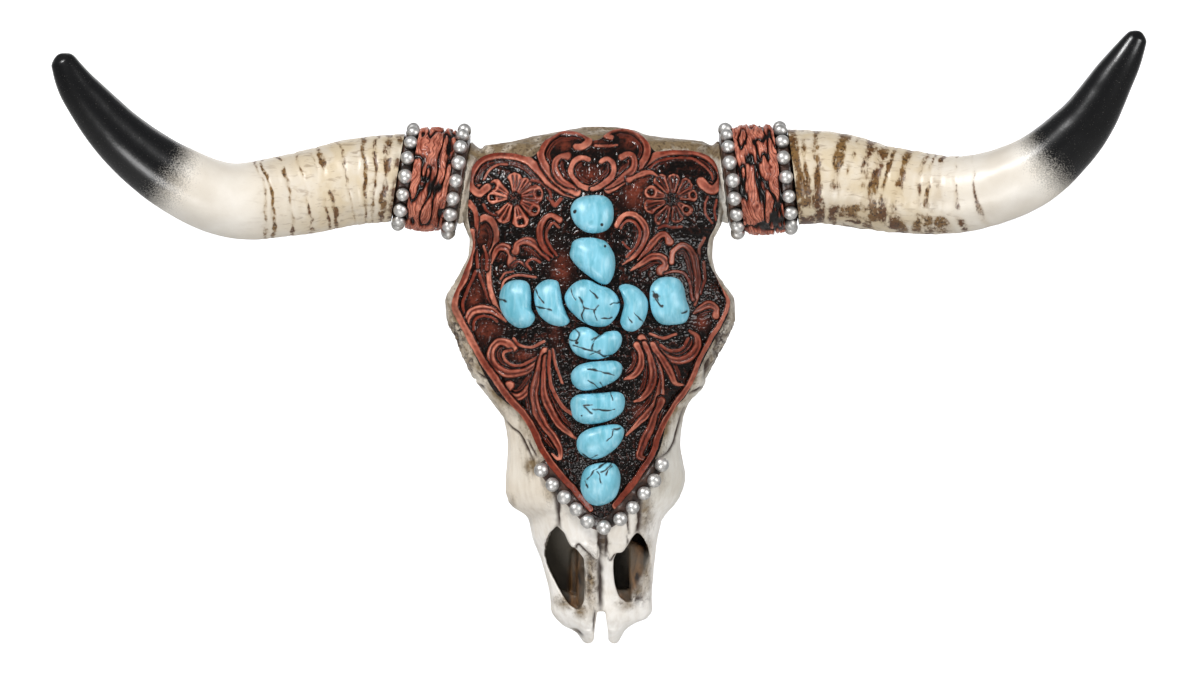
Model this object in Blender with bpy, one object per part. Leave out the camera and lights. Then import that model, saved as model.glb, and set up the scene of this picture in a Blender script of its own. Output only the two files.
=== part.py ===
# Cast wall plaque in the form of a longhorn steer skull.
# The face and horns look towards -Y, the flat back lies on the wall plane y = 0, and +Z is up.
# The origin is on the flat back, level with the middle of the arms of the stone cross.
# Lengths below are in millimetres and become metres in each mesh.

import math
import random

import bmesh
import bpy
import numpy as np
from mathutils import Matrix, Vector

MM = 0.001
GAP = 0.3                   # kept between pieces that touch
CURVE_STEPS = 24            # points worked out between two given points of a curve
CUT_FRONT = 90.0            # depths and a height that lie clear of the bone, for the cutting shapes
CUT_BACK = -5.0
CUT_BELOW = -170.0

# Skull: height, reach to the left and reach to the right of the middle line
SKULL_SIDES = (
    (84.4, 8.0, 9.0), (82.6, 17.0, 17.0), (80.0, 31.0, 24.0), (77.2, 42.0, 49.0),
    (75.4, 55.5, 53.0), (70.0, 59.0, 55.5), (62.0, 61.5, 57.0), (50.0, 64.0, 58.6),
    (38.0, 65.4, 58.2), (30.0, 62.4, 54.2), (24.0, 62.7, 53.6), (16.7, 65.8, 54.8),
    (9.0, 70.2, 59.6), (1.4, 73.9, 64.3), (-8.0, 73.3, 64.5), (-17.6, 69.0, 60.6),
    (-34.0, 62.0, 52.0), (-41.0, 56.6, 48.8), (-48.0, 51.2, 42.4), (-56.0, 45.8, 39.5),
    (-68.0, 44.1, 38.6), (-90.0, 45.2, 39.2), (-98.0, 40.6, 34.2), (-105.0, 33.8, 29.2),
    (-120.0, 29.3, 26.8), (-136.0, 24.5, 24.9), (-147.0, 23.2, 25.4), (-151.5, 21.2, 22.6),
    (-155.5, 17.4, 15.6), (-159.0, 11.4, 12.2), (-161.8, 8.4, 9.6),
)
# Skull: height, depth in front of the wall at the middle, depth at the rim, share of the width at the wall
SKULL_DEPTHS = (
    (84.4, 34.0, 27.0, 0.94), (80.0, 44.0, 35.0, 0.94), (75.4, 49.5, 40.0, 0.92),
    (66.0, 56.0, 50.0, 0.88), (56.0, 60.5, 54.0, 0.84), (44.0, 64.0, 53.0, 0.80),
    (30.0, 66.8, 50.0, 0.76), (10.0, 69.0, 49.0, 0.78), (-8.0, 70.0, 48.0, 0.86),
    (-27.0, 70.2, 46.5, 0.88), (-48.0, 69.2, 44.0, 0.84), (-68.0, 67.3, 41.0, 0.84),
    (-90.0, 63.2, 38.0, 0.86), (-105.0, 58.8, 34.0, 0.88), (-114.0, 55.5, 31.5, 0.90),
    (-120.0, 45.5, 30.0, 0.90), (-136.0, 38.0, 27.0, 0.90), (-147.0, 33.0, 24.0, 0.88),
    (-156.0, 27.5, 19.0, 0.86), (-161.8, 19.0, 12.0, 0.84),
)
CROWN_POWER = 2.3           # higher is a flatter forehead
RIM_ROUND = 1.6             # how far the front stops short of the rim
RIM_DROP = 3.0              # how far behind the front the rim is widest
SIDE_BEND_DEPTH = 0.45      # where a side bends towards the wall, as a share of the rim's depth
SIDE_BEND_PULL = 0.55       # how far that bend is drawn in towards the width at the wall
FRONT_STEPS = 16
SLOPE_STEP = 0.4            # how far either way the front's slope is measured
LIFT_LEAN = 0.25            # how much of the slope a piece on the front leans with
LEVEL_STEP = 6.5            # about how far apart the levels of its loft are

# Eye sockets and the hollows of the skull's sides, given by height and depth in front of the wall
ORBIT_Z = -22.0
ORBIT_DEPTH = 30.0
ORBIT_RADIUS = 13.0
ORBIT_SINK = 12.0           # how far the socket goes in
ORBIT_RIM = 3.0             # radius of the raised rim
ORBIT_RIM_INSET = 2.2
ORBIT_RIM_SEGMENTS = 18
ORBIT_RIM_SIDES = 7
HOLLOW_SEGMENTS = 16
HOLLOW_RINGS = 10
SIDE_HOLLOWS = (            # height, depth, how far outside the side its middle is, and its three radii
    {"z": 15.0, "depth": 20.0, "out": 3.0, "radii": (12.0, 16.0, 14.0)},
    {"z": -70.0, "depth": 10.0, "out": -1.0, "radii": (7.0, 13.0, 24.0)},
)

# Nostrils and the notch between the two front bones
NOSTRIL_FLOOR = 14.0        # solid left behind each nostril
NOSTRIL_SIDES = 18
LEFT_NOSTRIL = (
    (-20.5, -105.8), (-26.2, -118.2), (-24.6, -126.6), (-16.7, -141.9),
    (-11.0, -147.0), (-7.6, -143.0), (-7.8, -121.0), (-12.4, -116.8),
)
RIGHT_NOSTRIL = (
    (17.8, -109.0), (23.4, -118.0), (23.2, -127.0), (18.6, -141.3),
    (10.6, -142.4), (6.8, -133.0), (6.8, -120.0), (12.4, -116.6),
)
NOTCH_X = (-1.6, 2.7)
NOTCH_TOP = -147.5

# Hanger let into the back
POCKET_X = 17.0
POCKET_Z = (44.0, 60.0)
POCKET_DEPTH = 8.0
SEAT_X = 24.0
SEAT_Z = (52.0, 62.0)
SEAT_DEPTH = 2.5
HANGER_THICKNESS = 1.0
TOOTH_PITCH = 2.5
TOOTH_HEIGHT = 1.2
TOOTH_COUNT = 11

# Horn roots: middle of each bead band, and how far each cuff leans up as it leaves the skull
CUFF_DEPTH = 36.0
BAND_HALF = 3.5
CUFFS = {
    "left": {"side": -1, "lean": 9.0, "inner": (-68.7, 58.1), "outer": (-92.7, 60.3),
             "boss": (-54.0, 55.2), "boss_end_radius": 20.4, "wrap_radius": 24.8,
             "inner_band_radius": 23.6, "outer_band_radius": 21.4},
    "right": {"side": 1, "lean": 7.0, "inner": (62.9, 58.2), "outer": (88.5, 59.9),
              "boss": (48.0, 55.4), "boss_end_radius": 20.4, "wrap_radius": 26.4,
              "inner_band_radius": 23.6, "outer_band_radius": 22.6},
}
BOSS_STEPS = ((0.0, 5.0), (0.5, 3.0), (0.82, 1.4), (1.0, 0.0))      # share along a stub, how much thinner
WRAP_STEPS = ((0.0, 1.6), (0.12, 0.5), (0.4, 0.0), (0.75, 0.3), (1.0, 1.8))     # the same for a wrap
BAND_EDGE = 1.0             # how wide and how deep a band's edge slopes away
BAND_EDGE_DROP = 0.8
BEAD_RADIUS = 3.35
BEAD_SIZES = (0.96, 1.03)   # smallest and largest share of the bead radius
BEAD_SHIFT = 0.25
BEAD_RISE = 1.5             # bead centres above the band
BEAD_SEGMENTS = 7
BEAD_RINGS = 4
INNER_BEADS = 18
OUTER_BEADS = 16
CUFF_SIDES = 28

# Horns: x, depth in front of the wall, z and radius along each one
LEFT_HORN = (
    (-96.6, 36.2, 60.0, 21.6), (-117.7, 37.0, 57.9, 20.7), (-146.6, 40.0, 51.7, 19.6),
    (-175.8, 46.0, 48.9, 17.9), (-203.0, 54.0, 59.8, 16.0), (-226.6, 61.0, 77.4, 13.6),
    (-246.2, 66.5, 99.6, 9.8), (-254.6, 69.0, 113.5, 6.4), (-257.2, 70.0, 118.0, 3.6),
)
RIGHT_HORN = (
    (92.4, 36.2, 60.2, 23.4), (110.8, 37.0, 59.6, 22.2), (142.1, 40.0, 53.6, 20.4),
    (173.8, 46.0, 52.0, 18.1), (204.0, 54.0, 61.6, 16.6), (228.0, 61.0, 82.2, 13.8),
    (245.2, 67.0, 109.0, 9.6), (253.9, 69.5, 124.0, 5.8), (256.6, 70.5, 128.8, 3.2),
)
HORN_STATIONS = 24
HORN_SIDES = 14
HORN_EASE = 3               # stations over which a horn turns out of its cuff's direction
TIP_ROUND = 1.6
TIP_SHARE = 0.5             # end ring's share of the last radius

# Tooled leather panel: outline points as (x, z), from the bottom tip upwards and across the top
PANEL_LEFT = (
    (-3.8, -99.4), (-11.6, -90.8), (-25.7, -74.3), (-33.0, -59.4), (-39.1, -51.0),
    (-45.8, -45.6), (-52.2, -38.4), (-65.1, -12.9), (-70.4, -1.5), (-65.2, 12.4),
    (-60.2, 26.9), (-62.6, 42.0), (-60.8, 64.0),
)
PANEL_RIGHT = (
    (5.7, -98.2), (14.0, -88.9), (26.6, -72.4), (31.0, -57.7), (35.9, -49.1),
    (41.9, -41.6), (50.5, -23.8), (61.6, -2.5), (56.6, 8.4), (51.2, 20.6),
    (51.4, 30.0), (55.6, 40.0), (56.0, 58.6),
)
PANEL_TOP = (
    (-60.8, 64.0), (-56.4, 68.8), (-49.6, 71.0), (-41.2, 70.8), (-33.5, 69.2),
    (-28.8, 72.0), (-26.4, 76.2), (-18.4, 80.6), (-10.6, 80.6), (-2.0, 77.4),
    (4.4, 80.8), (9.8, 82.0), (15.7, 81.0), (21.6, 77.4), (26.2, 72.0),
    (34.1, 72.4), (43.8, 72.0), (51.0, 69.8), (54.8, 65.8), (56.0, 58.6),
)
PANEL_BOTTOM = ((-3.8, -99.4), (0.9, -101.8), (5.7, -98.2))
GROUND_RISE = 1.7           # leather above the bone
BORDER_RISE = 3.2           # raised edge above the bone
BORDER_WIDTH = 3.8
BORDER_SLOPE = 0.7
BORDER_TOP_SHARE = 0.30     # most of the panel's width that the top and the foot of one border may take
BORDER_FOOT_SHARE = 0.38
NARROWEST_ROW = 12.0        # rows narrower than this are divided as if they were this wide
SIDE_POINTS = 160           # points along a side, the bottom and the top of the panel's outline
BOTTOM_POINTS = 30
TOP_POINTS = 120
PANEL_SINK = 2.0            # how deep the uncut leather reaches into the bone
EDGE_REACH = 5              # higher keeps the shape of the top edge closer to it
PANEL_COLUMNS = 12          # between the two borders
PANEL_ROWS = 26

# Strip of beads round the panel's point
TRIM_TOP_LEFT = -73.6       # heights at which the strip starts
TRIM_TOP_RIGHT = -71.2
TRIM_INNER = 0.65           # strip edges and bead line, outwards from the panel's edge
TRIM_BEADS_OUT = 4.3
TRIM_OUTER = 6.6
TRIM_FOOT = 0.35            # underside of the strip above the bone
TRIM_RISE = 1.6
TRIM_CROWN = 0.3            # how much higher its middle and lower its outer edge are
TRIM_STATIONS = 26
TRIM_SIDE_POINTS = 90       # points along a side and the bottom of the edge it follows
TRIM_BOTTOM_POINTS = 7
TRIM_BEAD_RADIUS = 3.3
TRIM_BEAD_LIFT = 3.8        # bead centres above the bone
TRIM_BEAD_COUNT = 11

# Turquoise stones of the cross: outline points as (x, z), clockwise seen from the front
STONES = {
    "stone_shaft_1": ((-13.9, 43.6), (-7.6, 49.6), (0.0, 51.0), (6.1, 45.4), (6.4, 39.4),
                      (-0.4, 32.9), (-8.6, 34.2), (-13.1, 38.4)),
    "stone_shaft_2": ((-12.4, 29.4), (-0.8, 31.2), (6.9, 24.8), (7.8, 19.6), (5.6, 9.0),
                      (2.4, 8.2), (-9.0, 13.4), (-15.0, 22.8)),
    "stone_cross": ((-17.0, 3.0), (-8.6, 10.9), (0.4, 7.3), (7.6, 4.6), (9.8, -2.8),
                    (2.9, -11.0), (-6.8, -9.6), (-14.0, -4.6)),
    "stone_shaft_3": ((-14.2, -14.8), (-7.4, -11.3), (1.4, -15.2), (6.8, -13.8), (10.6, -20.0),
                      (6.0, -25.4), (-5.0, -27.2), (-11.4, -23.4)),
    "stone_shaft_4": ((-13.4, -34.6), (-9.8, -28.9), (5.6, -27.3), (11.0, -32.0), (6.4, -39.2),
                      (-3.0, -42.2), (-10.8, -39.6)),
    "stone_shaft_5": ((-13.6, -48.4), (-10.8, -44.8), (-4.0, -43.9), (8.4, -42.2), (11.9, -45.2),
                      (10.6, -52.6), (-2.8, -57.9), (-10.8, -55.6)),
    "stone_shaft_6": ((-10.6, -65.4), (-4.8, -60.9), (5.2, -57.5), (11.2, -60.0), (8.4, -67.8),
                      (-2.4, -74.1), (-8.8, -71.4)),
    "stone_shaft_7": ((-9.4, -80.6), (-4.6, -76.1), (6.8, -75.2), (9.9, -84.6), (6.4, -93.6),
                      (1.4, -96.4), (-4.6, -94.4), (-8.4, -87.4)),
    "stone_arm_1": ((-47.8, 2.0), (-44.0, 9.0), (-35.4, 10.6), (-32.8, 2.0), (-31.0, -7.4),
                    (-36.4, -12.0), (-43.6, -8.6)),
    "stone_arm_2": ((-31.2, 6.6), (-26.0, 10.6), (-20.4, 9.4), (-16.6, 2.0), (-14.6, -8.8),
                    (-18.2, -11.2), (-27.6, -8.0), (-31.0, -1.0)),
    "stone_arm_3": ((8.9, 8.4), (15.2, 9.2), (22.6, 3.2), (22.9, -6.0), (18.0, -12.8),
                    (12.4, -13.4), (10.6, -8.0), (11.9, -0.8)),
    "stone_arm_4": ((23.5, 5.0), (30.6, 12.4), (37.4, 9.6), (41.6, 0.0), (42.4, -6.6),
                    (36.0, -10.2), (28.0, -9.4), (24.0, -2.0)),
}
STONE_BASE_RISE = 2.05      # stone bases above the bone
STONE_HEIGHT = 6.4
STONE_HEIGHTS = (0.9, 1.1)  # smallest and largest share of that height
STONE_SIDES = 18
STONE_INSET = 0.3
STONE_RINGS = ((0.93, 0.0), (1.0, 0.26), (0.92, 0.62), (0.66, 0.90))    # shares of outline and of height
BEAD_CREASE = 60            # degrees; sharper corners than this stay sharp on the beads and the stones

COLOURS = {
    "bone": ((0.80, 0.74, 0.66), 0.50, 0.0),
    "horn": ((0.74, 0.66, 0.54), 0.36, 0.0),
    "leather": ((0.30, 0.11, 0.08), 0.42, 0.0),
    "pewter": ((0.60, 0.58, 0.55), 0.34, 0.9),
    "turquoise": ((0.25, 0.58, 0.66), 0.28, 0.0),
    "steel": ((0.55, 0.56, 0.58), 0.35, 1.0),
}


# Curves and surfaces

def smooth_value(table, column, height):
    """Read one column of a table at a height, along a curve that never overshoots its points."""
    rows = sorted(table)
    xs = [row[0] for row in rows]
    ys = [row[column] for row in rows]
    height = min(max(height, xs[0]), xs[-1])
    rises = [(ys[i + 1] - ys[i]) / (xs[i + 1] - xs[i]) for i in range(len(xs) - 1)]
    slopes = [0.0] * len(xs)
    for i in range(1, len(xs) - 1):
        before, after = rises[i - 1], rises[i]
        if before * after > 0:
            slopes[i] = 2 * before * after / (before + after)
    i = min(max(int(np.searchsorted(xs, height)) - 1, 0), len(xs) - 2)
    step = xs[i + 1] - xs[i]
    t = (height - xs[i]) / step
    value = (2 * t ** 3 - 3 * t ** 2 + 1) * ys[i]
    value += (t ** 3 - 2 * t ** 2 + t) * step * slopes[i]
    value += (3 * t ** 2 - 2 * t ** 3) * ys[i + 1]
    value += (t ** 3 - t ** 2) * step * slopes[i + 1]
    return value


def spline(points, count, closed=False):
    """Points evenly spaced along a Catmull-Rom curve through the given ones."""
    given = np.array(points, float)
    if closed:
        ends = np.vstack([given[-1], given, given[0], given[1]])
    else:
        ends = np.vstack([2 * given[0] - given[1], given, 2 * given[-1] - given[-2]])
    dense = []
    for i in range(1, len(ends) - 2):
        for t in np.linspace(0, 1, CURVE_STEPS, endpoint=False):
            a, b, c, d = ends[i - 1], ends[i], ends[i + 1], ends[i + 2]
            point = 2 * b + (c - a) * t + (2 * a - 5 * b + 4 * c - d) * t ** 2
            dense.append(0.5 * (point + (3 * b - a - 3 * c + d) * t ** 3))
    dense.append(ends[-2])
    dense = np.array(dense)
    lengths = np.concatenate([[0], np.cumsum(np.linalg.norm(np.diff(dense, axis=0), axis=1))])
    stops = np.linspace(0, lengths[-1], count, endpoint=not closed)
    return np.column_stack([np.interp(stops, lengths, column) for column in dense.T])


def front_depth(x, z):
    """How far the bone's front stands before the wall."""
    reach = smooth_value(SKULL_SIDES, 1 if x < 0 else 2, z)
    crown = smooth_value(SKULL_DEPTHS, 1, z)
    rim = smooth_value(SKULL_DEPTHS, 2, z)
    share = min(abs(x) / reach, 1.0)
    return rim + (crown - rim) * (1 - share ** CROWN_POWER)


def on_front(x, z, lift):
    """A point lifted off the bone's front, leaning only a little with its slope."""
    step = SLOPE_STEP
    slope_x = (front_depth(x + step, z) - front_depth(x - step, z)) / (2 * step)
    slope_z = (front_depth(x, z + step) - front_depth(x, z - step)) / (2 * step)
    direction = Vector((-LIFT_LEAN * slope_x, -1.0, -LIFT_LEAN * slope_z)).normalized()
    return Vector((x, -front_depth(x, z), z)) + lift * direction


# Meshes

def material(name):
    colour, roughness, metallic = COLOURS[name]
    made = bpy.data.materials.get(name)
    if made is None:
        made = bpy.data.materials.new(name)
        made.use_nodes = True
        shader = made.node_tree.nodes["Principled BSDF"]
        shader.inputs["Base Color"].default_value = (*colour, 1.0)
        shader.inputs["Roughness"].default_value = roughness
        shader.inputs["Metallic"].default_value = metallic
    return made


def add_object(name, verts, faces, colour="bone"):
    """Make an object from points in millimetres, faces turned outwards."""
    mesh = bpy.data.meshes.new(name)
    mesh.from_pydata([tuple(c * MM for c in v) for v in verts], [], faces)
    shape = bmesh.new()
    shape.from_mesh(mesh)
    bmesh.ops.recalc_face_normals(shape, faces=shape.faces)
    shape.to_mesh(mesh)
    shape.free()
    made = bpy.data.objects.new(name, mesh)
    bpy.context.scene.collection.objects.link(made)
    mesh.materials.append(material(colour))
    return made


def loft(name, rings, colour="bone"):
    """A closed body through rings that have the same number of points."""
    count = len(rings[0])
    verts = [point for ring in rings for point in ring]
    faces = []
    for r in range(len(rings) - 1):
        for i in range(count):
            j = (i + 1) % count
            faces.append((r * count + i, r * count + j, (r + 1) * count + j, (r + 1) * count + i))
    faces.append(tuple(range(count))[::-1])
    faces.append(tuple((len(rings) - 1) * count + i for i in range(count)))
    return add_object(name, verts, faces, colour)


def prism(name, outline, back, front):
    """An outline in x and z, made solid between two depths before the wall."""
    rings = [[(x, -depth, z) for x, z in outline] for depth in (back, front)]
    return loft(name, rings)


def ball(name, centre, radii, segments, rings):
    """A ball or an egg with closed ends."""
    verts = []
    for r in range(1, rings):
        polar = math.pi * r / rings
        for s in range(segments):
            turn = 2 * math.pi * s / segments
            offset = (math.sin(polar) * math.cos(turn), math.sin(polar) * math.sin(turn), math.cos(polar))
            verts.append([centre[k] + radii[k] * offset[k] for k in range(3)])
    faces = []
    for r in range(rings - 2):
        for s in range(segments):
            t = (s + 1) % segments
            faces.append((r * segments + s, r * segments + t, (r + 1) * segments + t, (r + 1) * segments + s))
    top = len(verts)
    verts.append([centre[0], centre[1], centre[2] + radii[2]])
    verts.append([centre[0], centre[1], centre[2] - radii[2]])
    last = (rings - 2) * segments
    for s in range(segments):
        t = (s + 1) % segments
        faces.append((top, t, s))
        faces.append((top + 1, last + s, last + t))
    return add_object(name, verts, faces)


def keep_largest(made):
    """Drop whatever a Boolean left beside the main closed surface."""
    shape = bmesh.new()
    shape.from_mesh(made.data)
    waiting = set(shape.faces)
    islands = []
    while waiting:
        stack = [waiting.pop()]
        island = []
        while stack:
            face = stack.pop()
            island.append(face)
            for edge in face.edges:
                for other in edge.link_faces:
                    if other in waiting:
                        waiting.remove(other)
                        stack.append(other)
        islands.append(island)
    islands.sort(key=len)
    for island in islands[:-1]:
        bmesh.ops.delete(shape, geom=island, context="FACES")
    shape.to_mesh(made.data)
    shape.free()


def tilt(made, centre, angle):
    """Turn a piece about a front-to-back line through a centre, and fix that in its mesh."""
    turned = bmesh.new()
    turned.from_mesh(made.data)
    middle = Vector(centre) * MM
    bmesh.ops.rotate(turned, cent=middle, matrix=Matrix.Rotation(angle, 3, "Y"), verts=turned.verts)
    turned.to_mesh(made.data)
    turned.free()
    return made


def ring_tube(name, centre, radius, thickness, segments, sides):
    """A round ring standing in the plane of y and z."""
    verts = []
    for s in range(segments):
        turn = 2 * math.pi * s / segments
        for k in range(sides):
            roll = 2 * math.pi * k / sides
            reach = radius + thickness * math.cos(roll)
            verts.append((centre[0] + thickness * math.sin(roll),
                          centre[1] + reach * math.cos(turn), centre[2] + reach * math.sin(turn)))
    faces = []
    for s in range(segments):
        t = (s + 1) % segments
        for k in range(sides):
            m = (k + 1) % sides
            faces.append((s * sides + k, s * sides + m, t * sides + m, t * sides + k))
    return add_object(name, verts, faces)


def combine(made, pieces, operation):
    """Join closed pieces to a body, or cut them out of it, and remove them."""
    group = bpy.data.collections.new(made.name + "_pieces")
    bpy.context.scene.collection.children.link(group)
    for piece in pieces:
        bpy.context.scene.collection.objects.unlink(piece)
        group.objects.link(piece)
    boolean = made.modifiers.new("combine", "BOOLEAN")
    boolean.operation = operation
    boolean.solver = "EXACT"
    boolean.operand_type = "COLLECTION"
    boolean.collection = group
    bpy.context.view_layer.update()
    evaluated = made.evaluated_get(bpy.context.evaluated_depsgraph_get())
    result = bpy.data.meshes.new_from_object(evaluated)
    made.modifiers.remove(boolean)
    made.data = result
    result.materials.clear()
    result.materials.append(material(made["colour"]))
    for piece in pieces:
        bpy.data.objects.remove(piece)
    bpy.data.collections.remove(group)
    keep_largest(made)


def shade_round(made, degrees=40):
    made.data.shade_smooth()
    made.data.set_sharp_from_angle(angle=math.radians(degrees))


# The skull

def skull_ring(z, grow):
    """One closed level of the skull: front from left to right, then back along the wall."""
    left = smooth_value(SKULL_SIDES, 1, z)
    right = smooth_value(SKULL_SIDES, 2, z)
    rim = smooth_value(SKULL_DEPTHS, 2, z)
    share = smooth_value(SKULL_DEPTHS, 3, z)
    ring = []
    for i in range(FRONT_STEPS + 1):
        across = math.sin(math.pi / 2 * (2 * i / FRONT_STEPS - 1))
        reach = (left if across < 0 else right) - RIM_ROUND
        depth = front_depth(across * reach, z)
        ring.append((across * (reach + grow), -(depth + grow), z))
    bend = 1 - SIDE_BEND_PULL * (1 - share)
    for side, reach in ((1, right + grow), (-1, left + grow)):
        wall = [(side * reach, -(rim - RIM_DROP), z),
                (side * reach * bend, -SIDE_BEND_DEPTH * rim, z),
                (side * reach * share, 0.0, z)]
        ring.extend(wall if side > 0 else [(0.0, 0.0, z)] + wall[::-1])
    return ring


def skull_block(name, grow=0.0):
    """The skull without its horn stubs or hollows, made larger all round by an amount."""
    heights = sorted(row[0] for row in SKULL_SIDES)
    rings = []
    for low, high in zip(heights, heights[1:]):
        steps = max(1, round((high - low) / LEVEL_STEP))
        for k in range(steps):
            rings.append(skull_ring(low + (high - low) * k / steps, grow))
    rings.append(skull_ring(heights[-1], grow))
    return loft(name, rings)


def cuff_direction(cuff):
    lean = math.radians(cuff["lean"])
    return Vector((cuff["side"] * math.cos(lean), 0.0, math.sin(lean)))


def round_section(centre, direction, radius, sides):
    """A ring of points square to a direction."""
    across = Vector((0.0, -1.0, 0.0))
    across = (across - across.dot(direction) * direction).normalized()
    up = direction.cross(across)
    ring = []
    for i in range(sides):
        turn = 2 * math.pi * i / sides
        ring.append(centre + radius * (math.cos(turn) * across + math.sin(turn) * up))
    return ring


def cuff_point(cuff, which, along=0.0):
    """A point on a cuff's axis, counted outwards from the middle of one of its bead bands."""
    x, z = cuff[which]
    return Vector((x, -CUFF_DEPTH, z)) + along * cuff_direction(cuff)


def horn_boss(side, grow=0.0):
    """The stub of bone that carries a horn, from inside the skull to the inner bead band."""
    cuff = CUFFS[side]
    direction = cuff_direction(cuff)
    x, z = cuff["boss"]
    start = Vector((x, -CUFF_DEPTH, z))
    end = cuff_point(cuff, "inner", -BAND_HALF - GAP)
    radius = cuff["boss_end_radius"] + grow
    rings = []
    for t, drop in BOSS_STEPS:
        rings.append(round_section(start.lerp(end, t), direction, radius - drop, CUFF_SIDES))
    return loft("boss_" + side, rings)


def side_place(side, z):
    """How far a side stands from the middle at a height, and the angle at which it leans there."""
    column = 1 if side < 0 else 2
    above = smooth_value(SKULL_SIDES, column, z + ORBIT_RADIUS)
    below = smooth_value(SKULL_SIDES, column, z - ORBIT_RADIUS)
    return (above + below) / 2, side * math.atan2(above - below, 2 * ORBIT_RADIUS)


def orbit_pieces(side):
    """The raised rim of an eye socket, and the hollow inside it."""
    reach, lean = side_place(side, ORBIT_Z)
    centre = (side * (reach - ORBIT_RIM_INSET), -ORBIT_DEPTH, ORBIT_Z)
    rim = ring_tube("rim", centre, ORBIT_RADIUS, ORBIT_RIM, ORBIT_RIM_SEGMENTS, ORBIT_RIM_SIDES)
    radii = (ORBIT_SINK, ORBIT_RADIUS - 1.0, ORBIT_RADIUS - 1.0)
    socket = ball("socket", centre, radii, HOLLOW_SEGMENTS, HOLLOW_RINGS)
    return tilt(rim, centre, lean), tilt(socket, centre, lean)


def side_hollow(side, hollow):
    reach = smooth_value(SKULL_SIDES, 1 if side < 0 else 2, hollow["z"])
    centre = (side * (reach + hollow["out"]), -hollow["depth"], hollow["z"])
    return ball("hollow", centre, hollow["radii"], HOLLOW_SEGMENTS, HOLLOW_RINGS)


def make_skull():
    skull = skull_block("skull")
    skull["colour"] = "bone"
    rims, cutters = [], []
    for side in (-1, 1):
        rim, socket = orbit_pieces(side)
        rims.append(rim)
        cutters.append(socket)
        cutters.extend(side_hollow(side, hollow) for hollow in SIDE_HOLLOWS)
    combine(skull, rims + [horn_boss("left"), horn_boss("right")], "UNION")
    for outline in (LEFT_NOSTRIL, RIGHT_NOSTRIL):
        outline = spline(outline, NOSTRIL_SIDES, closed=True)
        cutters.append(prism("nostril", outline, NOSTRIL_FLOOR, CUT_FRONT))
    cutters.append(block("notch", NOTCH_X, (CUT_BACK, CUT_FRONT), (CUT_BELOW, NOTCH_TOP)))
    cutters.append(block("pocket", (-POCKET_X, POCKET_X), (CUT_BACK, POCKET_DEPTH), POCKET_Z))
    cutters.append(block("seat", (-SEAT_X, SEAT_X), (CUT_BACK, SEAT_DEPTH), SEAT_Z))
    combine(skull, cutters, "DIFFERENCE")
    shade_round(skull)


def block(name, x_range, depths, z_range):
    """A plain box, given by its sides and its depths before the wall."""
    corners = [(x_range[0], z_range[0]), (x_range[1], z_range[0]),
               (x_range[1], z_range[1]), (x_range[0], z_range[1])]
    return prism(name, corners, depths[0], depths[1])


def make_hanger():
    """Steel strip with a toothed lower edge, let into the back across the pocket."""
    left, right = -SEAT_X + GAP, SEAT_X - GAP
    low, high = SEAT_Z[0] + GAP, SEAT_Z[1] - GAP
    outline = [(left, high), (left, low)]
    first = -TOOTH_PITCH * TOOTH_COUNT / 2
    for k in range(TOOTH_COUNT):
        outline.append((first + k * TOOTH_PITCH, low))
        outline.append((first + (k + 0.5) * TOOTH_PITCH, low + TOOTH_HEIGHT))
    outline.extend([(first + TOOTH_COUNT * TOOTH_PITCH, low), (right, low), (right, high)])
    depth = SEAT_DEPTH - GAP
    rings = [[(x, -d, z) for x, z in outline] for d in (depth - HANGER_THICKNESS, depth)]
    loft("hanger", rings, "steel")


# Horns and cuffs

def make_wrap(side):
    """The leather drum between a horn's two bead bands."""
    cuff = CUFFS[side]
    start = cuff_point(cuff, "inner", BAND_HALF + GAP)
    end = cuff_point(cuff, "outer", -BAND_HALF - GAP)
    direction = cuff_direction(cuff)
    rings = []
    for t, drop in WRAP_STEPS:
        rings.append(round_section(start.lerp(end, t), direction, cuff["wrap_radius"] - drop, CUFF_SIDES))
    wrap = loft("horn_wrap_" + side, rings, "leather")
    shade_round(wrap)


def bead(centre, radius):
    """One bead, a little larger or smaller than its neighbours."""
    size = radius * random.uniform(*BEAD_SIZES)
    return ball("bead", centre, (size, size, size), BEAD_SEGMENTS, BEAD_RINGS)


def make_bead_band(side, which):
    """A bead band: a disc round the horn's root with half-sunk beads round it."""
    cuff = CUFFS[side]
    direction = cuff_direction(cuff)
    radius = cuff[which + "_band_radius"]
    rings = []
    flat = BAND_HALF - BAND_EDGE
    for along, drop in ((-BAND_HALF, BAND_EDGE_DROP), (-flat, 0.0), (flat, 0.0), (BAND_HALF, BAND_EDGE_DROP)):
        rings.append(round_section(cuff_point(cuff, which, along), direction, radius - drop, CUFF_SIDES))
    name = "bead_band_" + side + "_" + which
    band = loft(name, rings, "pewter")
    band["colour"] = "pewter"
    random.seed(name)
    count = INNER_BEADS if which == "inner" else OUTER_BEADS
    places = round_section(cuff_point(cuff, which), direction, radius + BEAD_RISE, count)
    beads = []
    for place in places:
        centre = place + direction * random.uniform(-BEAD_SHIFT, BEAD_SHIFT)
        beads.append(bead(centre, BEAD_RADIUS))
    combine(band, beads, "UNION")
    shade_round(band, BEAD_CREASE)


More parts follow.
